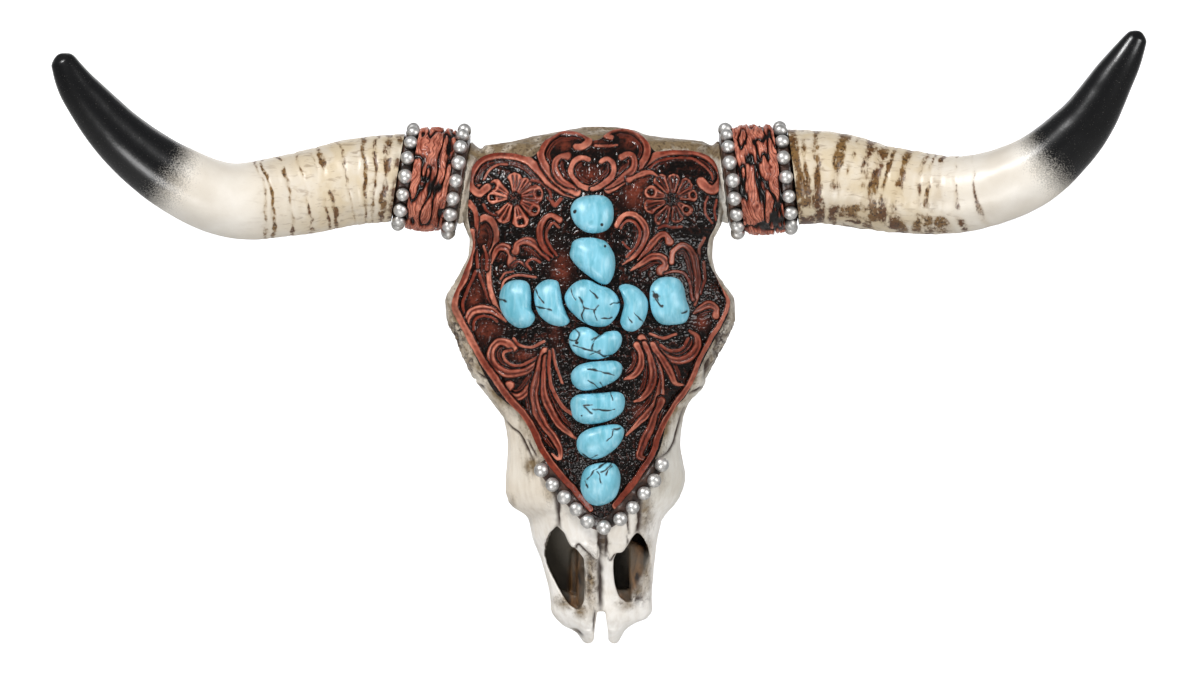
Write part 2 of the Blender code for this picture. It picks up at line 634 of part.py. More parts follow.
def make_horn(name, stations, cuff):
    """One horn, swept along its curve to a blunt tip."""
    path = spline(stations, HORN_STATIONS).tolist()
    start_direction = cuff_direction(cuff)
    rings = []
    for i, (x, depth, z, radius) in enumerate(path):
        before = path[max(i - 1, 0)]
        after = path[min(i + 1, len(path) - 1)]
        along = Vector((after[0] - before[0], before[1] - after[1], after[2] - before[2])).normalized()
        along = start_direction.lerp(along, min(i / HORN_EASE, 1.0)).normalized()
        rings.append(round_section(Vector((x, -depth, z)), along, radius, HORN_SIDES))
    x, depth, z, radius = path[-1]
    tip = Vector((x, -depth, z)) + along * TIP_ROUND
    rings.append(round_section(tip, along, radius * TIP_SHARE, HORN_SIDES))
    horn = loft(name, rings, "horn")
    shade_round(horn)


# Leather panel, its bead strip and the stones

def border_shares(width):
    """Shares of the panel's width at which its columns stand, and whether each stands raised."""
    inner_top = min(BORDER_WIDTH / width, BORDER_TOP_SHARE)
    inner_foot = min((BORDER_WIDTH + BORDER_SLOPE) / width, BORDER_FOOT_SHARE)
    middle = [inner_foot + (1 - 2 * inner_foot) * k / PANEL_COLUMNS for k in range(PANEL_COLUMNS + 1)]
    shares = [0.0, inner_top] + middle + [1 - inner_top, 1.0]
    raised = [True, True] + [False] * len(middle) + [True, True]
    return shares, raised


def along_edge(edge, share):
    place = share * (len(edge) - 1)
    low = min(int(place), len(edge) - 2)
    return edge[low] + (edge[low + 1] - edge[low]) * (place - low)


def panel_point(share, climb, edges):
    """A point between the panel's two sides, drawn to its shaped top and bottom edges near them."""
    left, right, bottom, top = edges
    point = (1 - share) * along_edge(left, climb) + share * along_edge(right, climb)
    highest = (1 - share) * left[-1] + share * right[-1]
    lowest = (1 - share) * left[0] + share * right[0]
    point = point + climb ** EDGE_REACH * (along_edge(top, share) - highest)
    return point + (1 - climb) ** EDGE_REACH * (along_edge(bottom, share) - lowest)


def make_panel():
    """Leather over the forehead and face, with a raised edge, cut to lie on the bone."""
    edges = [spline(PANEL_LEFT, SIDE_POINTS), spline(PANEL_RIGHT, SIDE_POINTS),
             spline(PANEL_BOTTOM, BOTTOM_POINTS), spline(PANEL_TOP, TOP_POINTS)]
    climbs = [row / PANEL_ROWS for row in range(PANEL_ROWS + 1)]
    height = PANEL_TOP[0][1] - PANEL_BOTTOM[0][1]
    climbs.insert(-1, 1 - BORDER_WIDTH / height)
    climbs[-3] = 1 - (BORDER_WIDTH + BORDER_SLOPE) / height
    lower, upper = [], []
    for row, climb in enumerate(climbs):
        width = float(np.linalg.norm(along_edge(edges[1], climb) - along_edge(edges[0], climb)))
        shares, raised = border_shares(max(width, NARROWEST_ROW))
        at_end = row == 0 or row >= len(climbs) - 2
        under_row, over_row = [], []
        for share, high in zip(shares, raised):
            x, z = panel_point(share, climb, edges)
            under_row.append(on_front(x, z, -PANEL_SINK))
            over_row.append(on_front(x, z, BORDER_RISE if high or at_end else GROUND_RISE))
        lower.append(under_row)
        upper.append(over_row)
    panel = skin_to_plate("tooled_panel", lower, upper, "leather")
    panel["colour"] = "leather"
    bone = [skull_block("bone", GAP), horn_boss("left", GAP), horn_boss("right", GAP)]
    combine(panel, bone, "DIFFERENCE")
    shade_round(panel)


def skin_to_plate(name, lower, upper, colour):
    """A closed plate between two grids of points, its four-sided cells cut the same way on both."""
    rows, columns = len(lower), len(lower[0])
    verts = [point for row in lower for point in row] + [point for row in upper for point in row]
    shift = rows * columns
    faces = []
    for r in range(rows - 1):
        for c in range(columns - 1):
            a, b = r * columns + c, r * columns + c + 1
            d, e = (r + 1) * columns + c, (r + 1) * columns + c + 1
            faces.extend([(a, e, b), (a, d, e)])
            faces.extend([(shift + a, shift + b, shift + e), (shift + a, shift + e, shift + d)])
    loop = [c for c in range(columns)]
    loop += [r * columns + columns - 1 for r in range(1, rows)]
    loop += [(rows - 1) * columns + c for c in range(columns - 2, -1, -1)]
    loop += [r * columns for r in range(rows - 2, 0, -1)]
    for i, a in enumerate(loop):
        b = loop[(i + 1) % len(loop)]
        faces.extend([(a, b, shift + b), (a, shift + b, shift + a)])
    return add_object(name, verts, faces, colour)


def trim_line(offset, count):
    """Points along the panel's pointed lower edge, moved outwards by an offset."""
    left = spline(PANEL_LEFT, TRIM_SIDE_POINTS)
    right = spline(PANEL_RIGHT, TRIM_SIDE_POINTS)
    edge = np.vstack([left[::-1], spline(PANEL_BOTTOM, TRIM_BOTTOM_POINTS)[1:-1], right])
    middle = int(edge[:, 1].argmin())
    starts = np.array([TRIM_TOP_LEFT if i < middle else TRIM_TOP_RIGHT for i in range(len(edge))])
    edge = spline(edge[edge[:, 1] < starts][::2], count)
    along = np.gradient(edge, axis=0)
    along /= np.linalg.norm(along, axis=1)[:, None]
    return edge + offset * np.column_stack([along[:, 1], -along[:, 0]])


def make_bead_trim():
    """A narrow strip below the panel's point, with a row of half-sunk beads."""
    rises = ((TRIM_INNER, TRIM_RISE), (TRIM_BEADS_OUT, TRIM_RISE + TRIM_CROWN),
             (TRIM_OUTER, TRIM_RISE - TRIM_CROWN))
    lower, upper = [], []
    for offset, rise in rises:
        row = trim_line(offset, TRIM_STATIONS)
        lower.append([on_front(x, z, TRIM_FOOT) for x, z in row])
        upper.append([on_front(x, z, rise) for x, z in row])
    strip = skin_to_plate("bead_trim", lower, upper, "pewter")
    strip["colour"] = "pewter"
    random.seed("bead_trim")
    places = trim_line(TRIM_BEADS_OUT, 2 * TRIM_BEAD_COUNT + 1)[1::2]
    beads = [bead(on_front(x, z, TRIM_BEAD_LIFT), TRIM_BEAD_RADIUS) for x, z in places]
    combine(strip, beads, "UNION")
    shade_round(strip, BEAD_CREASE)


def make_stone(name, points):
    """One polished pebble, its foot following the leather."""
    outline = spline(points, STONE_SIDES, closed=True)
    centre = outline.mean(axis=0)
    random.seed(name)
    height = STONE_HEIGHT * random.uniform(*STONE_HEIGHTS)
    rings = []
    for share, level in STONE_RINGS:
        ring = []
        for point in outline:
            spoke = point - centre
            reach = np.linalg.norm(spoke) - STONE_INSET
            x, z = centre + spoke / np.linalg.norm(spoke) * reach * share
            ring.append(on_front(x, z, STONE_BASE_RISE + height * level))
        rings.append(ring)
    count = len(outline)
    verts = [on_front(centre[0], centre[1], STONE_BASE_RISE)]
    verts += [point for ring in rings for point in ring]
    verts.append(on_front(centre[0], centre[1], STONE_BASE_RISE + height))
    faces = []
    for i in range(count):
        j = (i + 1) % count
        faces.append((0, 1 + i, 1 + j))
        for r in range(len(rings) - 1):
            a, b = 1 + r * count + i, 1 + r * count + j
            faces.append((a, b, b + count, a + count))
        last = 1 + (len(rings) - 1) * count
        faces.append((last + i, last + j, len(verts) - 1))
    stone = add_object(name, verts, faces, "turquoise")
    shade_round(stone, BEAD_CREASE)


def main():
    for old in list(bpy.data.objects):
        bpy.data.objects.remove(old)
    make_skull()
    make_hanger()
    make_horn("horn_left", LEFT_HORN, CUFFS["left"])
    make_horn("horn_right", RIGHT_HORN, CUFFS["right"])
    for side in CUFFS:
        make_wrap(side)
        for which in ("inner", "outer"):
            make_bead_band(side, which)
    make_panel()
    make_bead_trim()
    for name, points in STONES.items():
        make_stone(name, points)


main()
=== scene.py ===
# Looks of a cast wall plaque in the form of a longhorn steer skull.
# The face looks towards -Y, the flat back lies on the plane y = 0, and +Z is up.
# Lengths are in millimetres and become metres in each mesh. Places written as pixels are
# those of the 1200 x 675 photograph, and from_photo turns them into millimetres.

import math
import random

import bpy
import numpy as np
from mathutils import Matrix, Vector


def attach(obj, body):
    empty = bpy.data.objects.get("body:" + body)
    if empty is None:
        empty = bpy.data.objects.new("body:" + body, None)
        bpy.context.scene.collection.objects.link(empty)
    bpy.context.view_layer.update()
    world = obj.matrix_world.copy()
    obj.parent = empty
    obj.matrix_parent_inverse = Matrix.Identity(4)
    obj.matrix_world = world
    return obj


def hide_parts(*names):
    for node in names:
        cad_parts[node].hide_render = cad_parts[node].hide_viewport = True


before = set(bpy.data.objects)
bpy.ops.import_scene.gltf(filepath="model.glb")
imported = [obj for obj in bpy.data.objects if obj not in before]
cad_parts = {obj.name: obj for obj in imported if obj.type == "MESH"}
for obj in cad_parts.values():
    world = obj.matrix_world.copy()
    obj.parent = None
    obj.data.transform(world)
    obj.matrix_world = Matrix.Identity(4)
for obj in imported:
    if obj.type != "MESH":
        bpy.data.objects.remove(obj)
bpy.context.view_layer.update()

MM = 0.001
PICTURE = (1200, 675)       # pixels of the photograph across and down
PIXEL = 0.4766              # millimetres in a pixel at the object's mid depth
MIDDLE_PIXEL = (600.0, 303.0)
CAMERA_AWAY = 5.0           # metres from the camera to the object's mid depth
MID_DEPTH = 0.05

# Room, in metres
FLOOR_HALF = 13.0
FLOOR_LEVEL = -2.4
BACKDROP_HALF = 10.4
BACKDROP_AWAY = 13.0
WORLD_COLOUR = (0.94, 0.96, 1.0, 1)
WORLD_STRENGTH = 0.2
# Lights: name, place, size, watts
LIGHTS = (
    ("key", (-1.3, -1.9, 2.0), 0.7, 64.0),
    ("fill", (2.0, -1.7, 0.6), 1.2, 34.0),
    ("low", (-0.6, -2.1, -1.5), 0.9, 25.0),
)

# Random bumps
NOISE_CELLS = 32
NOISE_SHIFT = 3.7           # moves each seed's noise away from the lattice's corner
STIPPLE_CELLS = 64
STIPPLE_RADIUS = 0.62       # as a share of a cell

# Shape of the bone's front, as the solids have it: height, reach to the left and to the right
SKULL_SIDES = (
    (84.4, 8.0, 9.0), (82.6, 17.0, 17.0), (80.0, 31.0, 24.0), (77.2, 42.0, 49.0),
    (75.4, 55.5, 53.0), (70.0, 59.0, 55.5), (62.0, 61.5, 57.0), (50.0, 64.0, 58.6),
    (38.0, 65.4, 58.2), (30.0, 62.4, 54.2), (24.0, 62.7, 53.6), (16.7, 65.8, 54.8),
    (9.0, 70.2, 59.6), (1.4, 73.9, 64.3), (-8.0, 73.3, 64.5), (-17.6, 69.0, 60.6),
    (-34.0, 62.0, 52.0), (-41.0, 56.6, 48.8), (-48.0, 51.2, 42.4), (-56.0, 45.8, 39.5),
    (-68.0, 44.1, 38.4), (-75.0, 44.4, 39.5), (-83.0, 45.0, 40.8), (-90.0, 45.2, 39.4),
    (-94.5, 44.0, 37.4), (-97.7, 41.6, 34.8), (-101.5, 35.8, 31.4), (-105.0, 34.0, 29.4),
    (-113.0, 32.2, 27.6), (-120.6, 29.2, 26.6), (-130.0, 26.2, 25.7), (-139.6, 24.0, 25.0),
    (-147.3, 23.4, 25.2), (-151.1, 21.4, 22.9), (-154.9, 18.2, 15.9), (-158.7, 12.2, 11.2),
    (-161.8, 8.6, 7.6),
)
FITTED_BELOW = 32.0         # below this height the side outline of the bone is fitted to the table
FITTED_MOST = 0.1           # the largest change of width, as a share
NOTCH_MIDDLE = 0.55
NOTCH_HALF = 2.2
NOTCH_SOFT = 3.0
NOTCH_FLARE = 1.3           # the notch widens this much on each side towards its mouth
LOBE_MIDDLE = 6.1           # away from the notch
LOBE_HALF = 4.4
LOBE_DROP = 1.6             # how far the rounded ends of the lobes come below the solid
LOBE_HEIGHTS = (-148.0, -161.0)
# Height, depth in front of the wall at the middle and at the rim
SKULL_DEPTHS = (
    (84.4, 34.0, 27.0), (80.0, 44.0, 35.0), (75.4, 49.5, 40.0), (66.0, 56.0, 50.0),
    (56.0, 60.5, 54.0), (44.0, 64.0, 53.0), (30.0, 66.8, 50.0), (10.0, 69.0, 49.0),
    (-8.0, 70.0, 48.0), (-27.0, 70.2, 46.5), (-48.0, 69.2, 44.0), (-68.0, 67.3, 41.0),
    (-90.0, 63.2, 38.0), (-105.0, 58.8, 34.0), (-114.0, 55.5, 31.5), (-120.0, 45.5, 30.0),
    (-136.0, 38.0, 27.0), (-147.0, 33.0, 24.0), (-156.0, 27.5, 19.0), (-161.8, 19.0, 12.0),
)
CROWN_POWER = 2.3
SLOPE_STEP = 0.4
LIFT_LEAN = 0.25            # how much of the slope a piece on the front leans with
SNAP_REACH = 1.3            # facets of the solid are smoothed where the true front is this near
BACK_LAYER = 0.3            # bone this near the wall is the unpainted back
VOXEL = 0.72
SOFTENING = 0.5
SOFTENING_TIMES = 4
PIT_DEPTH = 1.9
PIT_RIM = 0.3               # how far the bone stands up between pits
BONE_WAVES = ((0.22, 14.0, 41), (0.06, 2.2, 51))    # unevenness of the bone: rise, size, seed
STAIN_WAVE = 0.3
BACK_WAVE = 0.05

# Nostrils, and the bones round them
NOSTRILS = (
    ((-20.5, -105.8), (-26.2, -118.2), (-24.6, -126.6), (-16.7, -141.9),
     (-11.0, -147.0), (-7.6, -143.0), (-7.8, -121.0), (-12.4, -116.8)),
    ((17.8, -109.0), (23.4, -118.0), (23.2, -127.0), (18.6, -141.3),
     (10.6, -142.4), (6.8, -133.0), (6.8, -120.0), (12.4, -116.6)),
)
NASAL_BONES = (
    ((560, 499), (558, 512), (559, 524), (565, 534), (569, 543), (573.7, 547.8), (576, 545),
     (578.4, 541.8), (583.7, 547), (590, 553), (597, 559), (599, 553), (599, 530), (598, 499)),
    ((606.5, 505), (606.5, 533), (607.5, 547), (609, 554), (611, 558), (614.5, 553), (622.6, 551.8),
     (627, 543), (625, 528), (624, 505)),
    ((628, 505), (629.5, 520), (630, 531), (632, 535), (635, 533), (636, 520), (636, 505)),
)
NASAL_DEPTHS = ((-90.0, 63.4), (-105.0, 59.4), (-114.0, 56.4), (-123.0, 53.0))
NASAL_REACHES = (31.0, 27.5)    # to the left and to the right
NASAL_FALL = 24.0           # how much deeper the bones lie at that reach
NASAL_THICKNESS = 6.0
NASAL_ROUND = 0.9
RIDGE_THICKNESS = 14.0
RIDGE_ROUND = 2.0
# How a plate's front rounds off: share of its outline, and how many roundings it has sunk there
PLATE_ROUNDING = ((1.0, 1.6), (0.97, 0.5), (0.9, 0.1), (0.75, 0.0), (0.55, 0.0), (0.3, 0.0), (0.04, 0.0))
# Ridges on the floor of the nostrils: pixel outline, depth of its front
NOSTRIL_RIDGES = (
    (((565, 562), (569, 556), (571, 575), (571, 600), (566, 598), (564, 580)), 12.0),
    (((571, 553), (575, 552), (576, 575), (575, 606), (571, 606), (570, 580)), 17.0),
    (((577.5, 551), (582, 553), (583, 575), (583, 608), (578, 608), (577, 580)), 22.0),
    (((562, 592), (572, 596), (583, 598), (584, 612), (574, 612), (562, 604)), 20.0),
    (((630, 545), (640, 545), (649, 556), (648, 580), (640, 600), (631, 601), (629, 575)), 31.0),
    (((616, 592), (628, 590), (642, 588), (641, 604), (622, 604), (616, 600)), 29.0),
)

# Tooled panel: outline as (x, z), and its layers above the bone
PANEL_LEFT = (
    (-3.8, -99.4), (-11.6, -90.8), (-25.7, -74.3), (-33.0, -59.4), (-39.1, -51.0),
    (-45.8, -45.6), (-52.2, -38.4), (-65.1, -12.9), (-70.4, -1.5), (-65.2, 12.4),
    (-60.2, 26.9), (-62.6, 42.0), (-60.8, 64.0),
)
PANEL_RIGHT = (
    (5.7, -98.2), (14.0, -88.9), (26.6, -72.4), (31.0, -57.7), (35.9, -49.1),
    (41.9, -41.6), (50.5, -23.8), (61.6, -2.5), (56.6, 8.4), (51.2, 20.6),
    (51.4, 30.0), (55.6, 40.0), (56.0, 58.6),
)
PANEL_TOP = (
    (-60.8, 64.0), (-56.4, 68.8), (-49.6, 71.0), (-41.2, 70.8), (-33.5, 69.2),
    (-28.8, 72.0), (-26.4, 76.2), (-18.4, 80.6), (-10.6, 80.6), (-2.0, 77.4),
    (4.4, 80.8), (9.8, 82.0), (15.7, 81.0), (21.6, 77.4), (26.2, 72.0),
    (34.1, 72.4), (43.8, 72.0), (51.0, 69.8), (54.8, 65.8), (56.0, 58.6),
)
PANEL_BOTTOM = ((-3.8, -99.4), (0.9, -101.8), (5.7, -98.2))
PANEL_OUT = 0.6             # how far the sheet goes beyond that outline
PANEL_COLUMNS = 350
PANEL_ROWS = 540
EDGE_REACH = 5              # how closely the shaped top and bottom keep to their edges
RIM_SUNK = 0.8
RIM_SHARE = 0.55            # height left next to the rim
GROUND_RISE = 1.0
SCROLL_RISE = 1.9           # scrolls above the ground
BROAD_RISE = 2.0            # the broad flat ones
BORDER_RISE = 2.1
STIPPLE_CELL = 1.45
STIPPLE_RISE = 0.6
SCROLL_WIDENING = 1.22
SWELL_PLACES = (0.0, 0.14, 0.5, 0.8, 1.0)   # a scroll is fattest half way, and thin at its root
SWELLS = (1.4, 1.0, 1.4, 1.05, 0.4)
GROOVE_WIDTH = 0.4
ECHO_AWAY = 1.0             # a thin ridge follows the inner side of each scroll
ECHO_WIDTH = 0.36
OUTLINE_WIDTH = 0.5         # black paint at the foot of each scroll

# Bands and scrolls, in pixels: width at the start and at the end, rise above the ground, points
BORDERS = (
    (7.5, 7.5, BORDER_RISE, ((472, 232), (472, 250), (470, 264), (464, 280), (457, 293), (455, 305),
     (460, 318), (468, 332), (479, 352), (490, 370), (500, 384), (511, 398), (524, 412), (534, 428),
     (541, 445), (550, 460), (563, 477), (577, 492), (590, 508))),
    (4.0, 7.0, BORDER_RISE, ((715, 272), (720, 283), (724, 292), (727, 303), (722, 318), (712, 334),
     (704, 348), (697, 362), (692, 376), (684, 390), (673, 404), (663, 421), (656, 438), (651, 454),
     (641, 470), (628, 488), (615, 505))),
)
SCROLLS = (
    (3.5, 3.5, 0.8, ((477, 270), (484, 285), (489, 297), (497, 308))),
    (3.5, 3.5, 0.8, ((476, 272), (468, 290), (463, 303), (465, 314))),
    (6.5, 5.0, BROAD_RISE, ((479, 220), (487, 218), (494, 223), (497, 233), (496, 245), (491, 256),
     (489, 268), (490, 282), (494, 298), (499, 310), (506, 318))),
    (7.0, 3.0, SCROLL_RISE, ((513, 263), (512, 254), (507, 248), (500, 248), (495, 254), (492, 264))),
    (6.0, 4.0, 1.2, ((470, 203), (475, 210), (477, 222), (476, 236))),
    (3.0, 4.5, 1.3, ((484, 246), (487, 256), (487, 270))),
    (3.0, 4.0, 1.0, ((476, 248), (478, 258), (478, 268))),
    (2.4, 2.4, 1.0, ((501, 279), (506, 273), (514, 272))),
    (2.6, 2.6, 1.0, ((512, 266), (520, 262), (527, 268))),
    (5.0, 5.0, 1.0, ((549, 199), (555, 206), (561, 199))),
    (3.0, 3.0, 1.0, ((532, 181), (541, 183), (549, 190), (551, 198))),
    (3.0, 3.0, 1.0, ((484, 205), (488, 212), (496, 216))),
    (3.6, 3.0, 1.2, ((703, 238), (699, 250), (698, 266), (701, 284))),
    (2.6, 2.6, 0.9, ((707, 197), (704, 207), (706, 216), (712, 223))),
    (2.6, 2.6, 0.9, ((716, 200), (714, 210), (716, 220))),
    (2.8, 2.8, 0.9, ((658, 228), (664, 226), (672, 228), (681, 227))),
    (2.4, 2.4, 0.9, ((622, 243), (628, 249), (636, 252))),
    (5.5, 5.5, SCROLL_RISE, ((468, 332), (467, 321), (472, 312), (482, 309), (492, 310), (500, 316),
     (506, 322))),
    (3.0, 3.0, 1.0, ((474, 330), (475, 321), (482, 316), (491, 317), (497, 322))),
    (5.0, 5.5, SCROLL_RISE, ((516, 252), (518, 244), (527, 241), (536, 245), (543, 253), (549, 261))),
    (4.0, 4.5, SCROLL_RISE, ((560, 220), (552, 216), (544, 220), (540, 229), (541, 241), (546, 251),
     (553, 258))),
    (3.2, 3.2, 1.3, ((560, 227), (553, 223), (548, 229), (547, 238), (550, 247), (557, 256))),
    (3.0, 3.0, 1.3, ((503, 290), (505, 281), (512, 277), (523, 276), (536, 278))),
    (3.0, 3.0, 1.0, ((540, 262), (533, 259), (527, 264), (531, 270))),
    (4.5, 4.5, SCROLL_RISE, ((617, 226), (623, 217), (632, 215), (641, 221), (645, 230), (643, 243),
     (635, 255), (623, 265))),
    (3.2, 3.2, 1.3, ((621, 229), (627, 222), (635, 224), (640, 234), (636, 246), (627, 257))),
    (5.0, 4.0, SCROLL_RISE, ((669, 242), (665, 235), (659, 235), (652, 242), (645, 252), (637, 261))),
    (6.5, 3.5, SCROLL_RISE, ((661, 271), (665, 264), (661, 258), (652, 257), (642, 263), (630, 271))),
    (4.0, 5.5, SCROLL_RISE, ((671, 262), (673, 251), (681, 245), (689, 249), (694, 260), (697, 275),
     (697, 290), (694, 305))),
    (3.0, 3.0, 1.2, ((703, 262), (704, 280), (700, 294))),
    (3.0, 3.0, 1.2, ((664, 274), (674, 271), (683, 274), (689, 284), (692, 300))),
    (5.0, 5.0, SCROLL_RISE, ((715, 316), (716, 309), (710, 305), (702, 307), (693, 313))),
    (3.2, 3.2, 1.2, ((650, 334), (662, 338), (675, 334))),
    (6.5, 5.0, SCROLL_RISE, ((514, 347), (506, 342), (498, 343), (492, 351), (493, 362), (501, 370),
     (514, 373), (528, 370), (539, 361), (546, 349))),
    (3.2, 3.2, 1.3, ((512, 350), (505, 352), (505, 358), (512, 364), (524, 364), (536, 358),
     (545, 350))),
    (3.2, 3.2, 1.2, ((514, 338), (521, 345), (533, 347), (545, 342))),
    (6.0, 4.0, SCROLL_RISE, ((510, 385), (508, 391), (515, 396), (524, 394), (532, 386), (538, 373),
     (544, 360))),
    (5.5, 6.0, SCROLL_RISE, ((545, 352), (539, 370), (535, 390), (537, 408), (545, 424), (554, 436),
     (561, 449), (560, 458), (553, 454))),
    (4.5, 5.5, SCROLL_RISE, ((547, 358), (544, 376), (545, 394), (552, 412), (563, 427), (576, 438))),
    (4.0, 4.0, 1.5, ((550, 352), (550, 370), (554, 390), (563, 406), (573, 413))),
    (3.0, 3.0, 1.2, ((553, 350), (557, 367), (563, 383))),
    (5.0, 6.0, SCROLL_RISE, ((655, 345), (664, 355), (676, 360), (688, 357), (696, 347), (696, 336),
     (689, 330))),
    (3.2, 3.2, 1.3, ((660, 345), (670, 350), (682, 348), (688, 338))),
    (5.0, 6.0, SCROLL_RISE, ((641, 338), (650, 351), (657, 365), (660, 382), (657, 399), (648, 412),
     (636, 424), (626, 434))),
    (5.0, 4.5, SCROLL_RISE, ((652, 346), (661, 357), (669, 371), (674, 382), (682, 385))),
    (4.5, 5.5, SCROLL_RISE, ((644, 345), (650, 358), (653, 375), (649, 389), (641, 398), (634, 401))),
    (4.5, 5.0, SCROLL_RISE, ((637, 345), (641, 357), (640, 367), (633, 375), (624, 379))),
    (5.0, 5.5, SCROLL_RISE, ((660, 400), (654, 415), (648, 432), (641, 446), (639, 456), (645, 459),
     (650, 452))),
    (11.0, 9.0, BROAD_RISE, ((480, 190), (484, 191))),
    (10.0, 9.0, BROAD_RISE, ((708, 186), (709, 189))),
    (8.0, 10.0, BROAD_RISE, ((488, 188), (480, 194), (473, 189), (470, 179), (473, 169), (481, 161),
     (492, 157), (505, 156), (518, 158), (530, 163), (540, 172), (549, 181), (560, 189), (573, 195))),
    (2.8, 2.8, 1.2, ((484, 180), (488, 172), (497, 166), (507, 165))),
    (8.0, 9.5, BROAD_RISE, ((632, 179), (641, 170), (649, 162), (660, 155), (675, 152), (692, 152),
     (705, 156), (715, 163), (720, 173), (720, 183), (713, 190), (706, 188), (701, 182))),
    (2.6, 2.6, 1.2, ((648, 170), (658, 162), (672, 159), (690, 159), (702, 165), (710, 173),
     (712, 180))),
    (6.5, 9.5, BROAD_RISE, ((576, 148), (584, 147), (589, 141), (583, 135), (572, 133), (560, 134),
     (550, 139), (544, 146), (541, 155), (543, 163), (549, 172), (558, 181), (568, 189), (577, 193))),
    (4.5, 5.0, SCROLL_RISE, ((567, 157), (560, 157), (556, 162), (555, 170), (559, 178), (567, 185),
     (577, 190))),
    (5.0, 9.5, BROAD_RISE, ((612, 139), (606, 137), (611, 133), (621, 131), (632, 133), (642, 139),
     (647, 147), (647, 155), (642, 165), (633, 175), (622, 182), (608, 190))),
    (4.5, 5.0, SCROLL_RISE, ((622, 158), (629, 155), (634, 160), (634, 168), (627, 176), (618, 182),
     (606, 189))),
    (4.0, 3.5, SCROLL_RISE, ((629, 181), (640, 175), (650, 173), (657, 177))),
    (5.5, 6.0, BROAD_RISE, ((588, 160), (581, 158), (574, 162), (571, 169), (573, 178), (580, 186),
     (589, 189), (598, 185))),
    (5.5, 6.0, BROAD_RISE, ((601, 163), (607, 160), (613, 165), (613, 174), (608, 181), (600, 187),
     (593, 190))),
    (3.0, 3.0, 1.2, ((595, 146), (606, 147), (617, 146))),
)
# Flowers: centre in pixels, how solid the petals are, then each petal's direction and half its
# spread in degrees, its length in pixels, and how far along it the dark eye lies, if it has one
FLOWERS = (
    ((514.5, 198.5), 0.95, ( (88, 21, 26, 0), (50, 20, 24, 0), (10, 24, 30, 0.84), (-31, 21, 29, 0.82),
     (-75, 20, 31, 0.80), (-122, 23, 29, 0), (-180, 17, 27, 0.80), (150, 22, 29, 0.84))),
    ((672.5, 199.5), 0.5, ( (88, 20, 25, 0), (125, 19, 29, 0), (163, 18, 29, 0.80), (200, 19, 30, 0),
     (240, 20, 30, 0), (282, 20, 25, 0), (-38, 19, 24, 0.70), (10, 18, 25, 0.82), (46, 20, 26, 0))),
)
# Places where the ground is painted red: centre in pixels, radius across and up
RED_FIELDS = (
    ((475, 300), 8, 16), ((636, 190), 14, 20), ((488, 330), 13, 9), ((524, 356), 12, 5),
    ((700, 322), 8, 7), ((592, 176), 9, 8), ((480, 232), 8, 12), ((640, 410), 8, 6),
    ((632, 142), 9, 8), ((565, 146), 8, 6), ((562, 268), 9, 14), ((596, 143), 10, 6),
    ((600, 222), 4, 30), ((556, 300), 5, 40),
)
# Places that the black wash darkened: centre in pixels, radius across and up, strength
DARK_FIELDS = (
    ((702, 262), 30, 44, 0.6), ((676, 212), 30, 28, 0.45), ((655, 390), 24, 40, 0.25),
    ((640, 290), 14, 30, 0.4), ((533, 400), 8, 50, 0.2),
)
# Painted highlight: the pink on the ridges is made stronger from the first of these places to the left.
LIT_PLACES = (-10.0, -50.0)     # the ridges are lighter from the first of these to the left
WANDER = 0.42               # how far the hand tooling strays

# Stones of the cross: outline points in pixels
STONES = {
    "stone_shaft_1": ((571, 207), (576, 200), (585, 196.5), (598, 195.5), (607, 198), (613, 206),
     (613.5, 220), (608, 230), (598, 234), (586, 233), (576, 226), (571, 216)),
    "stone_shaft_2": ((573, 242), (580, 238.5), (592, 238), (602, 240), (608, 244), (614, 254),
     (615.5, 264), (613.5, 276), (608, 284.5), (600, 284), (589, 277), (578, 268), (570, 257),
     (571, 248)),
    "stone_cross": ((565, 295), (572, 285), (581, 280), (590, 280.5), (599, 285), (610, 289),
     (618, 297), (620, 308), (615, 319), (607, 326), (596, 327), (584, 323), (573, 314), (566, 305)),
    "stone_shaft_3": ((570, 334), (577, 328), (586, 327), (594, 330.5), (600, 334.5), (607, 331.5),
     (617, 331), (622, 337), (620, 347), (612, 355), (600, 359.5), (587, 359), (575, 353.5),
     (569.5, 344)),
    "stone_shaft_4": ((571, 374), (577, 366), (588, 362), (603, 360.5), (617, 361), (622.5, 367),
     (619, 377), (609, 384), (594, 389.5), (581, 390), (573, 384)),
    "stone_shaft_5": ((571, 400), (577, 394.5), (588, 393), (602, 392), (618, 391.5), (624.5, 397),
     (623, 410), (614, 418), (600, 423), (584, 423.5), (574, 418), (571, 409)),
    "stone_shaft_6": ((577, 440), (582, 432), (592, 427), (606, 424), (618, 424), (624, 430),
     (620.5, 442), (611, 452), (598, 458.5), (586, 457), (578, 450)),
    "stone_shaft_7": ((581, 478), (585, 468), (594, 463), (606, 461.5), (615, 463.5), (620, 473),
     (619.5, 486), (615, 497), (606, 503.5), (595, 505), (586, 500), (581, 490)),
    "stone_arm_1": ((500, 296), (504, 286), (513, 280.5), (524, 280.5), (530, 285), (532, 296),
     (532.5, 309), (536, 318), (530, 326.5), (519, 328), (508, 321), (501, 309)),
    "stone_arm_2": ((535, 290), (541, 282.5), (549, 279.5), (558, 281.5), (561, 291), (563.5, 303),
     (567, 314), (570, 322), (563, 326.5), (551, 324.5), (540, 316), (535, 303)),
    "stone_arm_3": ((618.5, 287), (625, 284), (634, 286), (642, 292), (647.5, 301), (647, 313),
     (642, 325), (634, 331.5), (625, 330.5), (620, 323), (621.5, 314), (623.5, 304), (621, 294)),
    "stone_arm_4": ((650, 287), (657, 279), (667, 277), (677, 279), (683, 287), (685.5, 299),
     (689, 311), (685, 322), (673, 325), (660, 324), (652, 315), (649, 301)),
}
STONE_BASE_RISE = 0.9
STONE_HEIGHT = 7.5
